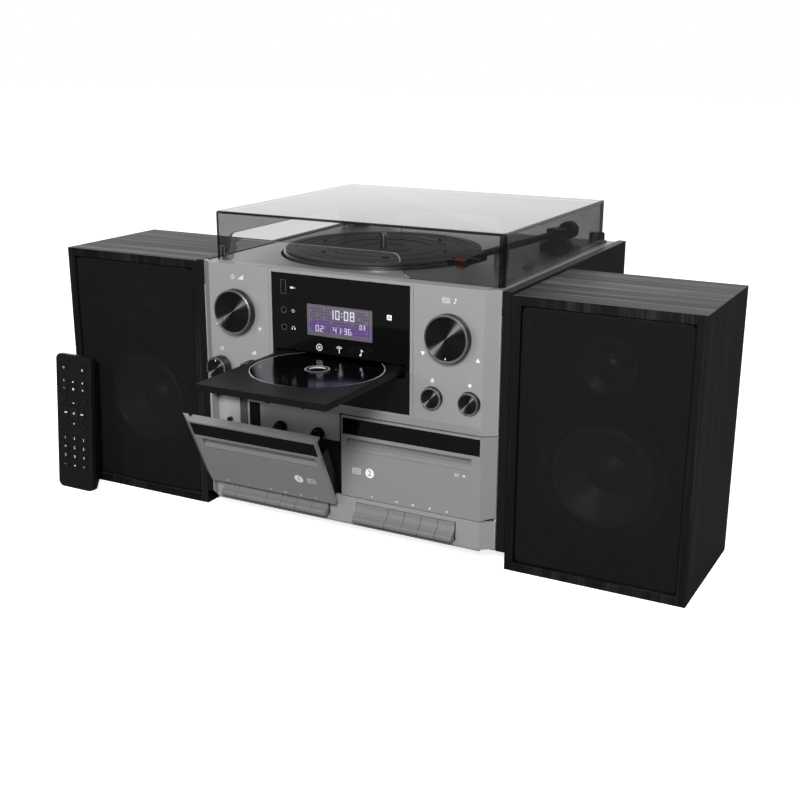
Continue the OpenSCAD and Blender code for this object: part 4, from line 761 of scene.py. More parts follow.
def publish_turned(
    name: str,
    body: str,
    centre: Vector,
    axis: Axis,
    profile: list[tuple[float, float, int]],
    steps: int,
    finishes: list[Finish],
    replaces: tuple[str, ...] = (),
) -> bpy.types.Object:
    """Turns one profile into a piece of its own, from what add_turned and publish take.

    Returns:
        The new object.
    """
    bm = bmesh.new()
    add_turned(bm, centre, axis, profile, steps)
    return publish(bm, name, body, finishes, replaces)


def ring_points(radius: float, count: int, start: float = 0.0) -> Polygon:
    """Points on a circle, counter-clockwise from an angle in degrees."""
    turns = (math.radians(start) + 2 * math.pi * i / count for i in range(count))
    return [(radius * math.cos(t), radius * math.sin(t)) for t in turns]


def soft_rectangle(low: Point, high: Point, radius: float, steps: int = 6) -> Polygon:
    """Rectangle with round corners.

    Args:
        low: lower left corner.
        high: upper right corner.
        radius: radius of the corners.
        steps: number of edges in each corner.

    Returns:
        The outline, counter-clockwise.
    """
    points = []
    corners = [(high[0] - radius, high[1] - radius), (low[0] + radius, high[1] - radius),
               (low[0] + radius, low[1] + radius), (high[0] - radius, low[1] + radius)]
    for quarter, (cx, cz) in enumerate(corners):
        for i in range(steps + 1):
            turn = math.pi / 2 * (quarter + i / steps)
            points.append((cx + radius * math.cos(turn), cz + radius * math.sin(turn)))
    return points


def ring_band(outer: float, inner: float, start: float, end: float, steps: int = 24) -> list[Polygon]:
    """Part of a flat ring, as four-sided faces between two angles in degrees."""
    faces = []
    for i in range(steps):
        a, b = (math.radians(start + (end - start) * k / steps) for k in (i, i + 1))
        faces.append([(inner * math.cos(a), inner * math.sin(a)), (outer * math.cos(a), outer * math.sin(a)),
                      (outer * math.cos(b), outer * math.sin(b)), (inner * math.cos(b), inner * math.sin(b))])
    return faces


def bar(x0: float, z0: float, x1: float, z1: float) -> Polygon:
    """Rectangle between two corners."""
    return [(x0, z0), (x1, z0), (x1, z1), (x0, z1)]


def mark_shapes(mark: Mark) -> list[Polygon]:
    """Faces of a symbol about 2 units high round the origin.

    Args:
        mark: the symbol.

    Returns:
        Convex outlines, counter-clockwise.
    """
    right = [(-0.8, -1.0), (0.9, 0.0), (-0.8, 1.0)]
    left = [(0.8, 1.0), (-0.9, 0.0), (0.8, -1.0)]
    up = [(-1.0, -0.8), (1.0, -0.8), (0.0, 0.9)]
    shapes = {
        Mark.PLAY: [right],
        Mark.FORWARD: [[(x - 0.9, z) for x, z in right], [(x + 0.8, z) for x, z in right]],
        Mark.REWIND: [[(x - 0.8, z) for x, z in left], [(x + 0.9, z) for x, z in left]],
        Mark.STOP: [bar(-0.9, -0.9, 0.9, 0.9)],
        Mark.PAUSE: [bar(-0.9, -1, -0.25, 1), bar(0.25, -1, 0.9, 1)],
        Mark.RECORD: [ring_points(1.0, 24)],
        Mark.EJECT: [[(x, z * 0.7 + 0.35) for x, z in up], bar(-1, -1, 1, -0.6)],
        Mark.PLUS: [bar(-1, -0.14, -0.14, 0.14), bar(-0.14, -1, 0.14, 1), bar(0.14, -0.14, 1, 0.14)],
        Mark.MINUS: [bar(-1, -0.14, 1, 0.14)],
        Mark.UP: [up],
        Mark.DOWN: [[(-x, -z) for x, z in up]],
        Mark.POWER: ring_band(1.0, 0.76, 125, 415) + [bar(-0.12, 0.1, 0.12, 1.2)],
        Mark.LOUDNESS: [bar(-1.2 + 0.6 * i, -0.9, -0.85 + 0.6 * i, -0.5 + 0.4 * i) for i in range(5)],
        Mark.PHONES: ring_band(1.0, 0.76, 0, 180) + [bar(-1.1, -0.9, -0.6, 0.05), bar(0.6, -0.9, 1.1, 0.05)],
        Mark.AERIAL: [bar(-0.1, -1, 0.1, 0.3)] + ring_band(0.62, 0.46, 30, 150, 10)
        + ring_band(1.05, 0.88, 30, 150, 12),
        Mark.DISC: ring_band(1.1, 0.9, 0, 360, 32) + ring_band(0.4, 0.2, 0, 360, 20),
        Mark.NOTE: [[(x - 0.35, z - 0.75) for x, z in ring_points(0.34, 16)], bar(-0.12, -0.75, 0.03, 1.0),
                    [(0.03, 1.0), (0.03, 0.6), (0.6, 0.3), (0.6, 0.6)]],
        Mark.PLUG: [bar(-1.3, -0.4, 0.1, 0.4), bar(0.25, -0.28, 1.2, -0.12), bar(0.25, 0.12, 1.2, 0.28)],
        Mark.LINE_IN: ring_band(0.9, 0.7, 40, 320, 24) + [bar(-0.1, -0.09, 1.2, 0.09)],
        Mark.WINDOW: [soft_rectangle((-1.0, -1.0), (1.0, 1.0), 0.25, 4)],
        Mark.TAPE: [bar(-1.6, 0.8, 1.6, 1.0), bar(-1.6, -1.0, 1.6, -0.8), bar(-1.6, -0.8, -1.42, 0.8),
                    bar(1.42, -0.8, 1.6, 0.8)]
        + [[(x + c, z) for x, z in face] for c in (-0.7, 0.7) for face in ring_band(0.42, 0.24, 0, 360, 16)],
        Mark.DOT: [ring_points(1.0, 20)],
    }
    return shapes[mark]


def words(text: str, height: float) -> tuple[list[Point], list[list[int]]]:
    """Outline of numbers as a flat mesh, centred.

    Args:
        text: what is written.
        height: height of a number, in millimetres.

    Returns:
        The mesh's points and faces.
    """
    curve = bpy.data.curves.new("number", "FONT")
    curve.body, curve.size, curve.align_x, curve.align_y = text, height * 1.38, "CENTER", "CENTER"
    curve.resolution_u = 3
    mesh = evaluated_mesh(add_object("number", curve))
    points = [(v.co.x, v.co.y) for v in mesh.vertices]
    faces = [list(p.vertices) for p in mesh.polygons]
    bpy.data.curves.remove(curve)
    bpy.data.meshes.remove(mesh)
    return points, faces


@dataclass
class Print:
    """Flat marks printed on a front surface: everything on one plane and one body."""

    datum: Datum
    name: str
    body: str
    depth: float
    turn: Matrix = field(default_factory=lambda: Matrix.Identity(4))
    finish: Finish = INK
    bm: bmesh.types.BMesh = field(default_factory=bmesh.new)

    def lay(self, points: list[Point], faces: list[list[int]], x: float, z: float, scale: float) -> None:
        """Adds flat faces.

        Args:
            points: places on the plane.
            faces: numbers of the points of each face.
            x: place of the faces' origin across, in millimetres.
            z: place of the faces' origin up, in millimetres.
            scale: millimetres per unit.
        """
        spots = [self.datum.at(x + px * scale, self.depth, z + pz * scale) for px, pz in points]
        verts = [self.bm.verts.new(self.turn @ spot) for spot in spots]
        for face in faces:
            self.bm.faces.new([verts[i] for i in face])

    def marks(self, *rows: tuple[Mark, float, float, float]) -> None:
        """Adds symbols, each given by its kind, place across, place up and half its height."""
        for mark, x, z, size in rows:
            for shape in mark_shapes(mark):
                self.lay(shape, [list(range(len(shape)))], x, z, size)

    def number(self, text: str, x: float, z: float, height: float) -> None:
        """Adds a number."""
        points, faces = words(text, height)
        self.lay(points, faces, x, z, 1.0)

    def outline(self, points: Polygon, x: float = 0.0, z: float = 0.0) -> None:
        """Adds one filled convex outline in millimetres."""
        self.lay(points, [list(range(len(points)))], x, z, 1.0)

    def finish_up(self) -> bpy.types.Object:
        """Gives the marks their thickness and publishes them.

        Returns:
            The piece.
        """
        back = self.turn.to_3x3() @ Vector((0, 0.03 * MM, 0))
        flat = list(self.bm.faces)
        for face in flat:
            face.normal_update()
            if face.normal.dot(back) > 0:
                face.normal_flip()
        made = bmesh.ops.extrude_face_region(self.bm, geom=flat, use_keep_orig=True)["geom"]
        moved = [item for item in made if isinstance(item, bmesh.types.BMVert)]
        bmesh.ops.translate(self.bm, vec=back, verts=moved)
        bmesh.ops.recalc_face_normals(self.bm, faces=list(self.bm.faces))
        return publish(self.bm, self.name, self.body, [self.finish])


class Recipe(NodeWork):
    """Geometry Nodes tree built in code."""

    prefix = "GeometryNode"

    def __init__(self, name: str) -> None:
        """Starts a tree that takes and gives geometry.

        Args:
            name: the tree's name.
        """
        self.tree = bpy.data.node_groups.new(name, "GeometryNodeTree")
        self.tree.interface.new_socket("Geometry", in_out="INPUT", socket_type="NodeSocketGeometry")
        self.tree.interface.new_socket("Geometry", in_out="OUTPUT", socket_type="NodeSocketGeometry")
        self.source = self.tree.nodes.new("NodeGroupInput")
        self.sink = self.tree.nodes.new("NodeGroupOutput")
        self.values: dict[str, object] = {}

    def ask(self, name: str, kind: str, value: object) -> Socket:
        """Adds a named input.

        Args:
            name: the input's name.
            kind: Float, Int or Vector.
            value: what it is set to.

        Returns:
            The socket that gives the value inside the tree.
        """
        item = self.tree.interface.new_socket(name, in_out="INPUT", socket_type="NodeSocket" + kind)
        self.values[item.identifier] = value
        return self.source.outputs[name]

    def repeat(self, points: Socket, item: Socket, finish: Finish,
               turns: Socket | None = None) -> None:
        """Puts an item on each point, makes it real and gives it a finish.

        Args:
            points: where the items go.
            item: the item's mesh.
            finish: the items' finish.
            turns: rotation of each item.
        """
        copies = self.add("InstanceOnPoints")
        self.wire(points, copies.inputs["Points"])
        self.wire(item, copies.inputs["Instance"])
        if turns is not None:
            self.wire(turns, copies.inputs["Rotation"])
        real = self.add("RealizeInstances")
        self.wire(copies.outputs["Instances"], real.inputs["Geometry"])
        paint = self.add("SetMaterial", Material=finish.material())
        self.wire(real.outputs["Geometry"], paint.inputs["Geometry"])
        self.wire(paint.outputs["Geometry"], self.sink.inputs["Geometry"])

    def cook(self, name: str, body: str, points: list[Vector], finish: Finish) -> bpy.types.Object:
        """Runs the tree on a cloud of points and publishes the result.

        Args:
            name: the piece's name.
            body: the body that it rides on.
            points: the points, in the part's frame.
            finish: the finish that the tree gives.

        Returns:
            The piece.
        """
        cloud = bpy.data.meshes.new(name)
        cloud.from_pydata([tuple(p) for p in points], [], [])
        carrier = add_object(name, cloud)
        modifier = carrier.modifiers.new(name, "NODES")
        modifier.node_group = self.tree
        for identifier, value in self.values.items():
            modifier[identifier] = value
        made = evaluated_mesh(carrier)
        bm = bmesh.new()
        bm.from_mesh(made)
        bpy.data.meshes.remove(made)
        bmesh.ops.remove_doubles(bm, verts=list(bm.verts), dist=1e-6)
        return publish(bm, name, body, [finish])


def repeated_blocks(name: str, body: str, points: list[Vector], size: Vector,
                    finish: Finish) -> bpy.types.Object:
    """Blocks of one size round a list of points, made by Geometry Nodes.

    Args:
        name: the piece's name.
        body: the body that it rides on.
        points: middles of the blocks, in the part's frame.
        size: the blocks' size in metres.
        finish: the blocks' finish.

    Returns:
        The piece.
    """
    recipe = Recipe(name)
    block = recipe.add("MeshCube")
    recipe.wire(recipe.ask("Size", "Vector", tuple(size)), block.inputs["Size"])
    recipe.repeat(recipe.source.outputs["Geometry"], block.outputs["Mesh"], finish)
    return recipe.cook(name, body, points, finish)


def repeated_studs(name: str, body: str, points: list[Vector], radius: float, height: float,
                   finish: Finish, axis: Axis) -> bpy.types.Object:
    """Round studs such as screw heads on a list of points, made by Geometry Nodes.

    Args:
        name: the piece's name.
        body: the body that it rides on.
        points: middles of the studs, in the part's frame.
        radius: radius in metres.
        height: height in metres.
        finish: the studs' finish.
        axis: direction of their axis.

    Returns:
        The piece.
    """
    recipe = Recipe(name)
    stud = recipe.add("MeshCylinder", Vertices=20)
    recipe.wire(recipe.ask("Radius", "Float", radius), stud.inputs["Radius"])
    recipe.wire(recipe.ask("Height", "Float", height), stud.inputs["Depth"])
    turn = recipe.add("Transform", Rotation=(math.pi / 2 if axis is Axis.FRONT else 0, 0, 0))
    recipe.wire(stud.outputs["Mesh"], turn.inputs["Geometry"])
    recipe.repeat(recipe.source.outputs["Geometry"], turn.outputs["Geometry"], finish)
    return recipe.cook(name, body, points, finish)


# Sub-assemblies.


@dataclass
class Assembly:
    """What every sub-assembly needs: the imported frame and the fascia's datum."""

    frame: dict
    datum: Datum

    def build(self) -> None:
        """Makes and dresses the sub-assembly's pieces."""
        raise NotImplementedError


@dataclass
class Casing(Assembly):
    """Wooden casing, back panel, feet and what is on the back."""

    rear_y: float = 310.0
    panel_half: float = 148.0
    screw_r: float = 2.6

    def build(self) -> None:
        """Dresses the casing and adds screws and socket rings."""
        dress(self.frame, CASE_BLACK, "cabinet")
        dress(self.frame, BACK_BLACK, "rear_panel")
        dress(self.frame, RUBBER, "feet")
        dress(self.frame, SATIN_BLACK, "sockets")
        self.screws()
        self.socket_rings()

    def screws(self) -> None:
        """Screws round the back panel."""
        y, low, middle, high = self.rear_y + 0.5, 30, 138, 240
        sides = (-self.panel_half, self.panel_half)
        spots = [self.datum.at(x, y, z) for z in (low, middle, high) for x in sides]
        spots += [self.datum.at(x, y, z) for z in (low, high) for x in (-50, 50)]
        repeated_studs("rear_screws", "main_unit", spots, self.screw_r * MM, 1.4 * MM, STEEL, Axis.FRONT)
        slots = [spot + Vector((0, 0.72 * MM, 0)) for spot in spots]
        repeated_blocks("rear_screw_slots", "main_unit", slots, Vector((3.4, 0.1, 0.6)) * MM, DARK_INK)

    def socket_rings(self) -> None:
        """Coloured rings of the two line sockets."""
        bm = bmesh.new()
        inner, outer, back = 4.15, 5.4, -(self.rear_y + 2.4)
        front = back - 1.6
        for x, part in ((-18, 0), (2, 1)):
            profile = [(r, z, part) for r, z in ((inner, back), (outer, back), (outer, front), (inner, front),
                                                 (inner, back))]
            add_turned(bm, self.datum.at(x, 0, 70), Axis.FRONT, profile, 40)
        publish(bm, "line_socket_rings", "main_unit", [INK, TERMINAL_RED])


@dataclass
class FrontPanel(Assembly):
    """Fascia, black panel, display and the marks that are printed on them."""

    lcd_w: float = 68.0
    lcd_h: float = 29.0
    lcd_z: float = 207.5
    lcd_y: float = 1.05
    frame_w: float = 1.5
    frame_low: float = 3.0
    columns: int = 26
    rows: int = 4
    jack_x: float = -58.4
    jacks_z: tuple[float, float] = (213.5, 197.5)
    usb_x: float = -58.6
    usb_z: float = 235.0
    window_x: float = 51.4
    window_z: float = 218.0
    split_share: float = 0.46

    def build(self) -> None:
        """Dresses the panel and makes the display and the prints."""
        dress(self.frame, GREY, "fascia")
        dress(self.frame, GLOSS_BLACK, "display_panel")
        dress(self.frame, BEZEL, "lcd_module")
        self.screen()
        self.cells()
        self.segments()
        self.fascia_print()
        self.panel_print()

    def window(self) -> tuple[float, float, float, float]:
        """Left, right, bottom and top of the display's glass."""
        half, z = self.lcd_w / 2 - self.frame_w, self.lcd_z
        return -half, half, z - self.lcd_h / 2 + self.frame_low, z + self.lcd_h / 2 - self.frame_w

    def screen(self) -> None:
        """Backlit plate behind the digits."""
        left, right, low, high = self.window()
        glow = Glow("display_backlight", (0.22, 0.18, 0.27), strength=0.7, low_colour=(0.22, 0.11, 0.4),
                    split_z=(low + (high - low) * self.split_share) * MM)
        bm = bmesh.new()
        back, front = self.datum.at(left, self.lcd_y - 0.3, low), self.datum.at(right, self.lcd_y, high)
        add_block(bm, back, front, 0.05 * MM)
        publish(bm, "display_backlight", "main_unit", [glow])

    def cells(self) -> None:
        """Unlit character cells, which show as a faint grid."""
        left, right, low, high = self.window()
        pitch = (right - left - 2) / self.columns
        dark = Glow("display_unlit_cell", (0.12, 0.1, 0.16), strength=0.6, low_colour=(0.12, 0.06, 0.24),
                    split_z=(low + (high - low) * self.split_share) * MM)
        step = (high - low - 2) / (self.rows * 2)
        spots = []
        for column in range(self.columns):
            for row in range(self.rows * 2):
                if (column * 7 + row * 3) % 9 == 0:
                    continue
                x, z = left + 1 + (column + 0.5) * pitch, low + 1 + (row + 0.5) * step
                spots.append(self.datum.at(x, self.lcd_y - 0.31, z))
        size = Vector((pitch * 0.78, 0.06, step * 0.8)) * MM
        repeated_blocks("display_unlit_cells", "main_unit", spots, size, dark)

    def segments(self) -> None:
        """Lit seven-segment digits: a clock above and a track number with its time below."""
        lit = Glow("display_lit_segment", (0.9, 0.88, 1.0), strength=0.8, low_colour=(0.9, 0.85, 1.0),
                   split_z=0.2)
        glyphs = Print(self.datum, "display_digits", "main_unit", self.lcd_y - 0.42, finish=lit)
        self.digits(glyphs, "10:08", -10.5, self.lcd_z + 2.4, 8.6, 4.6)
        self.digits(glyphs, "03", 21.0, self.lcd_z - 3.9, 4.2, 2.4)
        self.digits(glyphs, "02  41:36", -25.0, self.lcd_z - 10.2, 5.6, 3.5)
        glyphs.finish_up()

    def digits(self, glyphs: Print, text: str, x: float, z: float, height: float, width: float) -> None:
        """Seven-segment digits from a lower left corner.

        Args:
            glyphs: the print that they go on.
            text: digits, colons and blanks.
            x: left end in millimetres.
            z: bottom in millimetres.
            height: height of a digit.
            width: width of a digit.
        """
        lit = {"0": "abcdef", "1": "bc", "2": "abged", "3": "abgcd", "4": "fgbc", "6": "afgedc",
               "8": "abcdefg"}
        stroke, half = height * 0.13, height / 2
        for letter in text:
            if letter == ":":
                for level in (0.3, 0.65):
                    glyphs.outline(bar(0, 0, stroke, stroke), x, z + height * level)
                x += stroke * 2.4
                continue
            places = {
                "a": bar(stroke, height - stroke, width - stroke, height),
                "d": bar(stroke, 0, width - stroke, stroke),
                "g": bar(stroke, half - stroke / 2, width - stroke, half + stroke / 2),
                "b": bar(width - stroke, half, width, height), "c": bar(width - stroke, 0, width, half),
                "e": bar(0, 0, stroke, half), "f": bar(0, half, stroke, height),
            }
            for name in lit.get(letter, ""):
                glyphs.outline(places[name], x, z)
            x += width + stroke * 1.5

    def fascia_print(self) -> None:
        """Marks beside the knobs and buttons."""
        ink = Print(self.datum, "fascia_marks", "main_unit", PRINT_DEPTH)
        for x, first, second in ((-110.5, Mark.POWER, Mark.LOUDNESS), (110.5, Mark.TAPE, Mark.NOTE)):
            ink.marks((first, x - 4.4, 239, 2.1), (second, x + 4.4, 239, 2.1))
        ink.marks((Mark.MINUS, -134, 192.3, 2.0), (Mark.PLUS, -86, 192.3, 2.3), (Mark.DOWN, 84.5, 190, 2.2),
                  (Mark.UP, 137, 190, 2.2), (Mark.DISC, -130, 168.6, 1.9), (Mark.LOUDNESS, -94, 168.6, 1.9),
                  (Mark.EJECT, 94, 167, 1.9), (Mark.RECORD, 130, 166.8, 1.6))
        ink.finish_up()

    def panel_print(self) -> None:
        """Marks on the black panel."""
        beside, below = -48.5, 182.6
        ink = Print(self.datum, "panel_marks", "main_unit", PRINT_DEPTH)
        ink.marks((Mark.PLUG, beside, self.usb_z, 2.1), (Mark.LINE_IN, beside, self.jacks_z[0], 1.7),
                  (Mark.PHONES, beside, self.jacks_z[1], 1.7),
                  (Mark.WINDOW, self.window_x, self.window_z, 2.4),
                  (Mark.DISC, -21, below, 2.9), (Mark.AERIAL, 0, below, 3.2), (Mark.NOTE, 23, below, 2.9))
        ink.finish_up()
        rims = Print(self.datum, "socket_rims", "main_unit", -0.42, finish=SOCKET_RIM)
        for z in self.jacks_z:
            for face in ring_band(3.0, 2.5, 0, 360, 32):
                rims.outline(face, self.jack_x, z)
        rims.finish_up()
        shell = Print(self.datum, "usb_rim", "main_unit", PRINT_DEPTH, finish=SOCKET_RIM)
        for face in (bar(-2.9, -6.5, -2.4, 6.5), bar(2.4, -6.5, 2.9, 6.5), bar(-2.4, 6.1, 2.4, 6.5),
                     bar(-2.4, -6.5, 2.4, -6.1)):
            shell.outline(face, self.usb_x, self.usb_z)
        shell.finish_up()
        dark = Print(self.datum, "panel_dark_marks", "main_unit", -0.09, finish=DARK_INK)
        for level in (-0.9, 0.3):
            dark.outline(bar(-1.4, 0, 1.4, 0.6), self.window_x, self.window_z + level)
        dark.finish_up()
        lens = [(0, -0.4, 0), (2.1, -0.4, 0), (2.1, 0.1, 0), (0, 0.35, 0)]
        publish_turned("remote_receiver_lens", "main_unit", self.datum.at(43.4, 0, self.window_z), Axis.FRONT,
                       lens, 32, [TRAY_BLACK])


@dataclass
class Controls(Assembly):
    """Turned knobs and buttons."""

    big_x: float = 110.5
    big_z: float = 207.5
    big_r: float = 21.0
    big_out: float = 9.5
    small_z: float = 151.0
    small_r: float = 11.0
    small_out: float = 12.0
    button_r: float = 10.0
    button_out: float = 4.5
    near_x: float = 94.0
    far_x: float = 130.0

    def build(self) -> None:
        """Makes the six turned pieces and dresses the shafts."""
        dress(self.frame, STEEL, "volume_shaft", "select_shaft")
        big = (self.big_z, self.big_r, 1.6, self.big_out)
        small = (self.small_z, self.small_r, 0.8, self.small_out)
        button = (self.small_z, self.button_r, -3.0, self.button_out)
        for name, x, form, pointer in (
            ("volume_knob", -self.big_x, big, None), ("select_knob", self.big_x, big, 270),
            ("mode_knob", -self.far_x, small, 90), ("tone_knob", -self.near_x, small, 90),
            ("eject_button", self.near_x, button, None), ("record_button", self.far_x, button, None),
        ):
            self.knob(name, name.split("_")[0], x, *form, pointer=pointer)

    def knob(self, node: str, body: str, x: float, z: float, radius: float, back: float, front: float,
             pointer: float | None = None) -> None:
        """A knob with a black side, a bright ring and a spun face, over its CAD solid.

        Args:
            node: the CAD node that it replaces.
            body: its body.
            x: place across.
            z: place up.
            radius: outer radius.
            back: how far its back is in front of the fascia.
            front: how far its front is in front of the fascia.
            pointer: angle of its white line, if it has one.
        """
        wide = radius > 15
        ring = 1.0 if wide else 0.7
        face = radius - (1.9 if wide else 1.5)
        profile = [
            (0, back, 0), (radius - 0.6, back, 0), (radius, back + 0.6, 0), (radius, front - 1.3, 0),
            (radius - 0.15, front - 0.95, 1), (radius - ring, front - 0.05, 1), (face + 0.12, front, 1),
            (face, front - 0.3, 2), (face - 0.15, front - 0.4, 2), (face * 0.5, front - 0.4, 2),
            (0, front - 0.4, 2),
        ]
        publish_turned(node + "_turned", body, self.datum.at(x, 0, z), Axis.FRONT, profile,
                       128 if wide else 80, [SATIN_BLACK, SPUN_EDGE, SPUN_BLACK], (node,))
        if pointer is not None:
            line = Print(self.datum, node + "_line", body, -front + 0.3)
            out, angle = face - 1.6, math.radians(pointer)
            line.outline(bar(-0.45, -0.9, 0.45, 0.9), x + out * math.cos(angle), z + out * math.sin(angle))
            line.finish_up()


@dataclass
class DiscPlayer(Assembly):
    """Tray with its disc, and the drive behind it."""

    disc_y: float = -38.0
    disc_r: float = 60.0
    disc_low: float = 172.7
    disc_high: float = 173.9

    def build(self) -> None:
        """Dresses the tray and the drive and makes the disc."""
        dress(self.frame, TRAY_BLACK, "cd_tray")
        dress(self.frame, INNER, "cd_chassis")
        dress(self.frame, NYLON, "tray_gear")
        self.disc()

    def disc(self) -> None:
        """Disc with a clear rim and hub and a mirrored, faintly coloured surface."""
        low, high, r = self.disc_low, self.disc_high, self.disc_r
        clear = Finish("disc_clear_rim", (0.5, 0.52, 0.55), roughness=0.08, coat=0.6, grain_height=0.0)
        profile = [
            (7.5, low, 0), (r - 0.3, low, 0), (r, low + 0.3, 0), (r, high - 0.25, 0), (r - 0.25, high, 0),
            (r - 0.9, high, 1), (18, high, 1), (17.4, high - 0.08, 1), (16.8, high, 1), (11.2, high, 0),
            (10.2, high, 2), (7.5, high, 0), (7.5, low, 0),
        ]
        mirror = DiscMirror("disc_mirror_layer", (0.12, 0.13, 0.148), roughness=0.12)
        publish_turned("compact_disc_turned", "disc", self.datum.at(0, self.disc_y, 0), Axis.UP, profile, 144,
                       [clear, mirror, SATIN_BLACK], ("compact_disc",))


@dataclass
class Turntable(Assembly):
    """Deck, platter, mat, drive and tonearm under the cover."""

    x: float = -28.0
    y: float = 135.0
    platter_r: float = 99.0
    top: float = 252.6
    mat_top: float = 255.0
    spokes: int = 6
    pads: int = 5

    def build(self) -> None:
        """Dresses the deck and makes the platter, the mat and their small marks."""
        dress(self.frame, DECK_GREY_SHADED, "plinth")
        dress(self.frame, STEEL, "turntable_motor")
        dress(self.frame, BRASS, "motor_pulley")
        dress(self.frame, RUBBER, "drive_belt")
        dress(self.frame, SATIN_BLACK, "tonearm_base", "tonearm_yoke", "tonearm", "cue_lever", "speed_switch")
        dress(self.frame, STYLUS_RED, "cartridge")
        self.platter()
        self.mat()
        self.mat_ribs()
        self.deck_print()

    def platter(self) -> None:
        """Platter with a rolled rim and a bright spindle."""
        r, top = self.platter_r, self.top
        profile = [
            (0, 226, 1), (3.5, 226, 1), (3.55, 242.5, 0), (8, 242.5, 0), (8, top - 1.6, 0),
            (56, top - 1.6, 0),
            (56, 243.3, 0), (58, 243.3, 0), (58, top - 1.6, 0), (r - 3, top - 1.6, 0), (r - 3, 243.3, 0),
            (r - 1.2, 243.3, 0), (r - 0.6, 245.5, 0), (r - 0.1, 247.5, 0), (r, 249.5, 0), (r - 0.3, top - 1.0, 0),
            (r - 1.0, top - 0.2, 0), (r - 2.0, top, 0), (8, top, 0), (3.6, top + 0.3, 1), (3.55, 266.2, 1),
            (3.3, 267.2, 1), (2.4, 268.2, 1), (1.1, 268.7, 1), (0, 268.8, 1),
        ]
        publish_turned("platter_turned", "turntable", self.datum.at(self.x, self.y, 0), Axis.UP, profile, 192,
                       [PLATTER_METAL, STEEL], ("platter",))

    def mat(self) -> None:
        """Rubber mat with a raised edge, ring steps and a well for the label."""
        low, high = self.top + 0.05, self.mat_top
        steps = [(97, -1.2), (96.2, -0.1), (95, 0), (88, 0), (87, -0.7), (84, -0.7), (83, 0), (78, 0),
                 (77.2, -0.5),
                 (75.5, -0.5), (74.7, 0), (60, 0), (59.2, -0.5), (57.6, -0.5), (56.8, 0), (47, 0), (46, -0.8),
                 (30, -0.9), (29, -0.2), (22, -0.2), (21, -0.9), (3.8, -0.9)]
        profile = [(3.8, low, 0), (96.6, low, 0)] + [(r, high + dz, 0) for r, dz in steps] + [(3.8, low, 0)]
        centre = self.datum.at(self.x, self.y, 0)
        publish_turned("slip_mat_turned", "turntable", centre, Axis.UP, profile, 192, [MAT_RUBBER], ("slip_mat",))

    def mat_ribs(self) -> None:
        """Dark radial lines and small pads on the mat, set out round a circle by Geometry Nodes."""
        for name, count, radius, size, finish in (
            ("mat_spokes", self.spokes, 68.0, (0.12, 17.0, 0.5), DARK_INK),
            ("mat_pads", self.pads, 67.5, (0.5, 2.6, 6.5), SATIN_BLACK),
        ):
            recipe = Recipe(name)
            circle = recipe.add("CurvePrimitiveCircle", Resolution=96)
            recipe.wire(recipe.ask("Radius", "Float", radius * MM), circle.inputs["Radius"])
            spots = recipe.add("CurveToPoints", {"mode": "COUNT"})
            recipe.wire(circle.outputs["Curve"], spots.inputs["Curve"])
            recipe.wire(recipe.ask("Count", "Int", count + 1), spots.inputs["Count"])
            moved = recipe.add("Transform")
            recipe.wire(spots.outputs["Points"], moved.inputs["Geometry"])
            centre = self.datum.at(self.x, self.y, self.mat_top + 0.02)
            recipe.wire(recipe.ask("Centre", "Vector", tuple(centre)), moved.inputs["Translation"])
            block = recipe.add("MeshCube")
            recipe.wire(recipe.ask("Size", "Vector", tuple(s * MM for s in size)), block.inputs["Size"])
            recipe.repeat(moved.outputs["Geometry"], block.outputs["Mesh"], finish, spots.outputs["Rotation"])
            recipe.cook(name, "turntable", [Vector()], finish)

    def deck_print(self) -> None:
        """Plain numbers beside the speed switch."""
        switch_x, switch_y, deck_z, number_x = 132, 120, 249.3, 141
        lay = Matrix.Translation(self.datum.at(switch_x, switch_y, deck_z))
        lay = lay @ Matrix.Rotation(-math.pi / 2, 4, "X") @ Matrix.Translation(-self.datum.at(switch_x, 0, 0))
        ink = Print(self.datum, "deck_marks", "main_unit", -0.06, turn=lay)
        for text, along in (("33", -6), ("45", 8)):
            ink.number(text, number_x, along, 3.4)
        ink.finish_up()


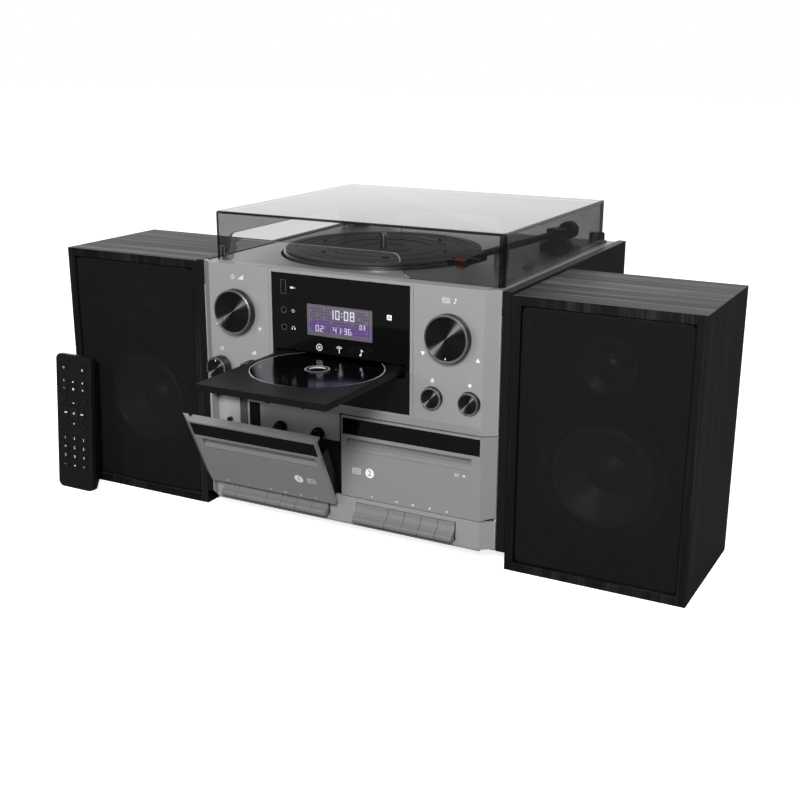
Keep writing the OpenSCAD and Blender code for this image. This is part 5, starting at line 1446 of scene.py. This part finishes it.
@dataclass
class DustCover(Assembly):
    """Smoked cover with its hinges."""

    rim_mm: float = 2.2
    corner_mm: float = 5.0
    sheet_mm: float = 3.2
    sharp_rad: float = 1.2
    near_m: float = 1e-4

    def build(self) -> None:
        """Makes the cover with rounded edges from its CAD solid, and dresses the hinges."""
        dress(self.frame, SATIN_BLACK, "cover_hinges")
        bm = bmesh.new()
        bm.from_mesh(self.frame["nodes"]["dust_cover"].data)
        bmesh.ops.remove_doubles(bm, verts=list(bm.verts), dist=2e-6)
        bmesh.ops.dissolve_limit(bm, angle_limit=math.radians(0.5), verts=list(bm.verts),
                                 edges=list(bm.edges))
        low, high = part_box("dust_cover")
        sides, front, back = (low.x, high.x), low.y + 0.004, high.y - 0.02

        def upright(edge: bmesh.types.BMEdge) -> bool:
            """Whether an edge is one of the cover's sharp outer uprights."""
            a, b = (vert.co for vert in edge.verts)
            outer = min(abs(a.x - side) for side in sides) < self.near_m and (a.y < front or a.y > back)
            plumb = abs(a.x - b.x) < 1e-5 and abs(a.y - b.y) < 1e-5 and abs(a.z - b.z) > 0.03
            return outer and plumb and len(edge.link_faces) == 2 and edge.calc_face_angle(0) > self.sharp_rad

        def rim(edge: bmesh.types.BMEdge) -> bool:
            """Whether an edge is a sharp one of the cover's top."""
            level = min(vert.co.z for vert in edge.verts) > high.z - self.near_m
            return level and len(edge.link_faces) == 2 and edge.calc_face_angle(0) > self.sharp_rad

        # Rounded faces take material 1, the darker tint: a painted shade along the rims.
        for wanted, radius in ((upright, self.corner_mm), (rim, self.rim_mm)):
            edges = [edge for edge in bm.edges if wanted(edge)]
            made = bmesh.ops.bevel(bm, geom=edges, offset=radius * MM, segments=8, profile=0.5,
                                   affect="EDGES", clamp_overlap=True, material=1)
            LOG.info("dust cover: %d edges rounded into %d faces", len(edges), len(made["faces"]))
        # Thin faces take the light grey cut-edge finish: a painted highlight.
        for face in bm.faces:
            spans = sorted(max(v.co[i] for v in face.verts) - min(v.co[i] for v in face.verts)
                           for i in range(3))
            if spans[1] < self.sheet_mm * MM and face.material_index == 0:
                face.material_index = 2
        publish(bm, "dust_cover_clear", "cover", [SMOKED, SMOKED_ROUND_SHADE, CUT_EDGE_HIGHLIGHT], ("dust_cover",),
                crease_deg=10)


@dataclass
class CassetteDecks(Assembly):
    """Doors, keys, bays and reels."""

    hinge_y: float = 12.0
    hinge_z: float = 21.0
    open_deg: float = 26.0
    key_pitch: float = 17.0
    deck1_start: float = -131.5
    deck2_start: float = 16.5
    badge_z: float = 69.5
    key_mark_z: float = 46.8
    bay_wall_y: float = 19.1

    def build(self) -> None:
        """Dresses the decks and prints the doors."""
        keys = [name for name in self.frame["nodes"] if name.startswith("deck") and name.endswith("_key")]
        dress(self.frame, self.door_paint("door_grey_painted_shade_open", self.open_deg), "deck1_door")
        dress(self.frame, self.door_paint("door_grey_painted_shade_shut", 0.0), "deck2_door")
        dress(self.frame, KEY_GREY, *keys)
        dress(self.frame, GLOSS_BLACK, "deck1_window", "deck2_window")
        # Black between the decks and low in the left bay: painted shade of the hollows there.
        zones = (self.zone((-12, -5, 0), (0, 90, 130)), self.zone((-40, -5, 0), (0, 90, 88)))
        bay = ZonedPaint("bay_grey_with_painted_shade", (0.32, 0.32, 0.325), roughness=0.5, flake_share=0.03,
                         zones=zones)
        dress(self.frame, bay, "deck_chassis")
        dress(self.frame, REEL_BLACK, "supply_reel", "takeup_reel")
        self.bay_fittings()
        for side in Side:
            self.door_print(side)

    def zone(self, low: Colour, high: Colour) -> tuple[Colour, Colour]:
        """A box given by two corners in millimetres in the fascia's frame, in the part's frame."""
        return tuple(self.datum.at(*low)), tuple(self.datum.at(*high))

    def door_paint(self, name: str, lean_deg: float) -> ZonedPaint:
        """Paint of a door, whose inner side and arms are black; its grey is the fascia's darkened, a painted
        shade, and the groove under its window is darker still, also painted shade.

        Args:
            name: the finish's name.
            lean_deg: how far the door stands open.

        Returns:
            The finish.
        """
        inner = self.zone((-141.9, 4.6, 0), (141.9, 90, 117))
        # The groove under the window is darkened: painted shade.
        ledge_painted_shade = self.zone((-133, 0.2, 91), (133, 4.5, 101))
        pivot = tuple(self.datum.at(0, self.hinge_y, self.hinge_z))
        # 0.31 is the fascia's grey darkened: a painted shade on the doors.
        return ZonedPaint(name, (0.31, 0.31, 0.316), roughness=0.42, metallic=0.35, coat=0.08, edge_mm=0.5,
                          zones=(inner,), shaded=(ledge_painted_shade,), pivot=pivot, lean_deg=lean_deg)

    def tilt(self) -> Matrix:
        """The open door's turn about the hinge line."""
        pivot = self.datum.at(0, self.hinge_y, self.hinge_z)
        turn = Matrix.Rotation(math.radians(self.open_deg), 4, "X")
        return Matrix.Translation(pivot) @ turn @ Matrix.Translation(-pivot)

    def door_print(self, side: Side) -> None:
        """Number badge with a symbol beside it, and small symbols over the keys.

        Args:
            side: left is deck 1, whose door stands open.
        """
        left = side is Side.LEFT
        turn = self.tilt() if left else Matrix.Identity(4)
        body, deck = ("door1", 1) if left else ("door2", 2)
        ink = Print(self.datum, f"deck{deck}_marks", body, PRINT_DEPTH, turn=turn)
        badge_x = -33.5 if left else 31.0
        beside = 14 if left else -14
        ink.marks((Mark.DOT, badge_x, self.badge_z, 4.6), (Mark.TAPE, badge_x + beside, self.badge_z, 2.7))
        if not left:
            ink.marks((Mark.STOP, 126, 83.5, 1.0), (Mark.TAPE, 119, 83.5, 1.2))
            names = [Mark.PLAY, Mark.REWIND, Mark.FORWARD, Mark.STOP, Mark.PAUSE]
            centres = [self.deck2_start + self.key_pitch * c for c in (1.0, 2.5, 3.5, 4.5, 5.5)]
        else:
            names = [Mark.RECORD, Mark.PLAY, Mark.REWIND, Mark.FORWARD, Mark.STOP, Mark.PAUSE]
            centres = [self.deck1_start + self.key_pitch * c for c in (0.5, 2.0, 3.5, 4.5, 5.5, 6.5)]
        ink.marks(*((name, x, self.key_mark_z, 0.85) for name, x in zip(names, centres)))
        ink.finish_up()
        figure = Print(self.datum, f"deck{deck}_number", body, -0.1, turn=turn, finish=DARK_INK)
        figure.number(str(deck), badge_x, self.badge_z, 5.6)
        figure.finish_up()

    def bay_fittings(self) -> None:
        """Dark guides of the recesses, black strips at their slots and notches that are painted shade, and a stop
        beside each.
        """
        for name, across, y, z, size, finish in (
            ("tape_guides", (-120, 120), 20.45, 85.5, (12.0, 0.2, 66.5), INNER),
            # Black sheets at the bay walls' slots and notches: painted shade of these hollows.
            ("slot_painted_shade", (-107.85, 107.85), self.bay_wall_y, 84.5, (12.3, 0.2, 57.0), SATIN_BLACK),
            ("notch_painted_shade", (-95.85, -56.7, 56.7, 95.85), self.bay_wall_y, 115.0, (11.4, 0.2, 2.4),
             SATIN_BLACK),
        ):
            spots = [self.datum.at(x, y, z) for x in across]
            repeated_blocks(name, "main_unit", spots, Vector(size) * MM, finish)
        stops = [self.datum.at(x, 17.6, 91.5) for x in (-137, 137)]
        repeated_studs("door_stops", "main_unit", stops, 2.6 * MM, 3.4 * MM, SATIN_BLACK, Axis.FRONT)


@dataclass
class Loudspeakers(Assembly):
    """Two loudspeakers with stretched cloth fronts."""

    board: float = 8.0
    gap: float = 0.7
    inset: float = 0.8
    cloth_r: float = 4.0
    bar_w: float = 9.0
    bar_back: float = 7.2
    ease: float = 0.3
    fold: float = 10.0

    def build(self) -> None:
        """Dresses the cabinets and drivers and makes frames, cloth and screws."""
        dress(self.frame, ASH, "left_speaker_cabinet", "right_speaker_cabinet")
        dress(self.frame, DRIVER, "speaker_drivers")
        dress(self.frame, CONE, "woofer_cones")
        frames = bmesh.new()
        for side in Side:
            self.grille(side, frames)
        publish(frames, "grille_frames", "main_unit", [SATIN_BLACK], ("speaker_grilles",))
        spots = []
        for side in Side:
            low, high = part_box(f"{side.name.lower()}_speaker_cabinet")
            across = (low.x + 9 * MM, high.x - 9 * MM)
            spots += [Vector((x, high.y, z)) for x in across for z in (9 * MM, 239 * MM)]
        repeated_studs("speaker_screws", "main_unit", spots, 2.4 * MM, 1.2 * MM, STEEL, Axis.FRONT)

    def grille(self, side: Side, frames: bmesh.types.BMesh) -> None:
        """One grille: bars of its frame, and the cloth with its wrapped edges.

        Args:
            side: which loudspeaker.
            frames: the mesh that takes the bars.
        """
        low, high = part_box(f"{side.name.lower()}_speaker_cabinet")
        margin = (self.board + self.gap) * MM
        left, right = low.x + margin, high.x - margin
        bottom, top, front = low.z + margin, high.z - margin, low.y + self.inset * MM
        back, wide, ease = front + self.bar_back * MM, self.bar_w * MM, self.ease * MM
        for a, b in (((left, bottom), (left + wide, top)), ((right - wide, bottom), (right, top)),
                     ((left, bottom), (right, bottom + wide)), ((left, top - wide), (right, top)),
                     ((left, top - 90 * MM), (right, top - 72 * MM))):
            add_block(frames, Vector((a[0] + ease, front + 0.8 * MM, a[1] + ease)),
                      Vector((b[0] - ease, back, b[1] - ease)), ease)
        cloth = bmesh.new()
        radius = self.cloth_r
        w, h = (right - left) / MM, (top - bottom) / MM
        loops = []
        for depth, shrink in ((5.0, 0.0), (2.2, 0.0), (1.2, 0.25), (0.45, 0.9), (0.1, 2.0), (0.0, 3.6)):
            outline = soft_rectangle((shrink, shrink), (w - shrink, h - shrink),
                                     max(0.8, radius - shrink * 0.5))
            rim = [(left + x * MM, front + depth * MM, bottom + z * MM) for x, z in outline]
            loops.append([cloth.verts.new(place) for place in rim])
        for first, second in zip(loops, loops[1:]):
            for i in range(len(first)):
                j = (i + 1) % len(first)
                cloth.faces.new([first[i], first[j], second[j], second[i]])
        cloth.faces.new(loops[-1])
        bmesh.ops.recalc_face_normals(cloth, faces=list(cloth.faces))
        if sum((f.normal.y * f.calc_area() for f in cloth.faces)) > 0:
            bmesh.ops.reverse_faces(cloth, faces=list(cloth.faces))
        name = f"{side.name.lower()}_grille_cloth"
        piece = publish(cloth, name, "main_unit", [CLOTH], crease_deg=60)


@dataclass
class RemoteControl(Assembly):
    """Remote control that leans on the left loudspeaker."""

    width: float = 46.5
    edge: float = 5.0
    lean_deg: float = 4.4
    pitch: float = 12.4

    def build(self) -> None:
        """Dresses the remote control and prints its keys."""
        dress(self.frame, SATIN_BLACK, "remote_case")
        dress(self.frame, KEY_RUBBER, "remote_keypad")
        self.key_print()

    def key_print(self) -> None:
        """Numbers and symbols on the keys."""
        low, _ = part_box("remote_case")
        foot = Vector((low.x, low.y, self.edge * MM * math.sin(math.radians(self.lean_deg))))
        stand = Matrix.Translation(foot) @ Matrix.Rotation(-math.radians(self.lean_deg), 4, "X")
        turn = stand @ Matrix.Translation(-self.datum.at(0, 0, 0))
        ink = Print(self.datum, "remote_marks", "main_unit", -1.05, turn=turn)
        middle = self.width / 2
        left, right = middle - self.pitch, middle + self.pitch
        columns = (left, middle, right)
        for i in range(9):
            ink.number(str(i + 1), columns[i % 3], 54 - 9.6 * (i // 3), 3.0)
        ink.marks(*((mark, x, 25.2, 0.9) for x, mark in zip(columns, (Mark.MINUS, Mark.DOT, Mark.PLUS))))
        keys = (
            (left, 128, Mark.POWER), (right, 128, Mark.EJECT), (middle, 114.2, Mark.PLAY),
            (middle, 106.8, Mark.STOP),
            (left, 114.5, Mark.PLUS), (left, 106.5, Mark.MINUS), (right, 114.5, Mark.UP),
            (right, 106.5, Mark.DOWN),
            (middle, 92.2, Mark.UP), (middle, 69.8, Mark.DOWN), (middle - 11.2, 81, Mark.REWIND),
            (middle + 11.2, 81, Mark.FORWARD), (middle, 81, Mark.PAUSE),
        )
        ink.marks(*((mark, x, z, 1.1) for x, z, mark in keys))
        ink.finish_up()


@dataclass
class Insides(Assembly):
    """Transformer and boards, which the casing hides."""

    def build(self) -> None:
        """Dresses the transformer and the boards."""
        dress(self.frame, CORE, "transformer")
        dress(self.frame, BOARD, "circuit_boards")


# Studio.


@dataclass
class Studio:
    """Pale floor, soft lamps and the camera."""

    datum: Datum
    focal_px: float = 1204.8
    frame_px: float = 800.0
    centre_px: tuple[float, float] = (392.5, 412.8)
    stand: tuple[float, float, float] = (542.0, -907.0, 451.0)
    yaw: float = 0.493
    pitch: float = 0.301
    roll: float = 0.002
    floor_lift: float = 0.8
    floor_half_m: float = 9.0
    room_light: float = 0.06
    backdrop_light: float = 1.0

    def build(self) -> None:
        """Makes the floor, the world, the lamps and the camera."""
        self.floor()
        self.world()
        self.lamps()
        self.camera()
        bpy.context.scene.view_settings.view_transform = "Standard"

    def camera(self) -> None:
        """Camera at the photograph's place, from the fitted view."""
        data = bpy.data.cameras.new("camera")
        data.sensor_width = 36.0
        data.lens = self.focal_px / self.frame_px * data.sensor_width
        data.shift_x = (self.frame_px / 2 - self.centre_px[0]) / self.frame_px
        data.shift_y = (self.centre_px[1] - self.frame_px / 2) / self.frame_px
        data.clip_end = 50.0
        camera = add_object("camera", data)
        look = Vector((-math.sin(self.yaw) * math.cos(self.pitch), math.cos(self.yaw) * math.cos(self.pitch),
                       -math.sin(self.pitch)))
        turn = look.to_track_quat("-Z", "Y").to_matrix().to_4x4() @ Matrix.Rotation(self.roll, 4, "Z")
        camera.matrix_world = Matrix.Translation(self.datum.at(*self.stand)) @ turn
        bpy.context.scene.camera = camera

    def floor(self) -> None:
        """Floor that the camera sees white with a faint shadow, and that mirrors dark in the object."""
        shade = Shade("studio_floor")
        shade.set(Roughness=1.0, Specular_IOR_Level=0.0, Emission_Color=(1, 1, 1, 1))
        rays = shade.add("LightPath")
        white = shade.tints(rays.outputs["Is Camera Ray"], (0.1, 0.1, 0.1), (0.8, 0.8, 0.8))
        shade.wire(white, shade.surface.inputs["Base Color"])
        lift = shade.spread(rays.outputs["Is Camera Ray"], 0.0, self.floor_lift)
        shade.wire(lift, shade.surface.inputs["Emission Strength"])
        bm = bmesh.new()
        bmesh.ops.create_grid(bm, x_segments=8, y_segments=8, size=self.floor_half_m)
        mesh = bpy.data.meshes.new("studio_floor")
        bm.to_mesh(mesh)
        bm.free()
        mesh.materials.append(shade.material)
        add_object("studio_floor", mesh)

    def world(self) -> None:
        """White backdrop behind the object and a dim room in front of it; the camera sees only white."""
        world = bpy.data.worlds.new("studio")
        bpy.context.scene.world = world
        world.use_nodes = True
        nodes, links = world.node_tree.nodes, world.node_tree.links
        facing = nodes.new("ShaderNodeTexCoord")
        split = nodes.new("ShaderNodeSeparateXYZ")
        links.new(facing.outputs["Generated"], split.inputs["Vector"])
        depth = nodes.new("ShaderNodeMapRange")
        depth.interpolation_type = "SMOOTHSTEP"
        for name, value in (("From Min", -0.1), ("From Max", 0.55), ("To Min", self.room_light),
                            ("To Max", self.backdrop_light)):
            depth.inputs[name].default_value = value
        links.new(split.outputs["Y"], depth.inputs["Value"])
        rays = nodes.new("ShaderNodeLightPath")
        strength = nodes.new("ShaderNodeMath")
        strength.operation = "MAXIMUM"
        links.new(depth.outputs["Result"], strength.inputs[0])
        links.new(rays.outputs["Is Camera Ray"], strength.inputs[1])
        links.new(strength.outputs["Value"], nodes["Background"].inputs["Strength"])
        nodes["Background"].inputs["Color"].default_value = (1, 1, 1, 1)

    def lamps(self) -> None:
        """Soft lamps: key at the upper right, fill at the left, one overhead. Only the key is mirrored."""
        for name, at, aim, size, power in (
            ("key", (640, -1500, 1150), (0, 0, 140), 0.55, 45.0),
            ("fill", (-900, -1700, 700), (0, 0, 110), 1.2, 13.0),
            ("top", (-200, 500, 1700), (0, 100, 250), 1.4, 8.0),
        ):
            data = bpy.data.lights.new(name, "AREA")
            data.shape, data.size, data.energy = "DISK", size, power
            lamp = add_object(name, data)
            lamp.visible_glossy = name == "key"
            place = self.datum.at(*at)
            aimed = (self.datum.at(*aim) - place).to_track_quat("-Z", "Y").to_matrix().to_4x4()
            lamp.matrix_world = Matrix.Translation(place) @ aimed


def main() -> None:
    """Loads the frame, builds every sub-assembly and the studio."""
    logging.basicConfig(level=logging.INFO, format="%(name)s: %(message)s")
    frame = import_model()
    datum = Datum.of_fascia()
    Studio(datum).build()
    for kind in (Casing, FrontPanel, Controls, DiscPlayer, Turntable, DustCover, CassetteDecks, Loudspeakers,
                 RemoteControl, Insides):
        kind(frame, datum).build()


if __name__ == "__main__":
    main()
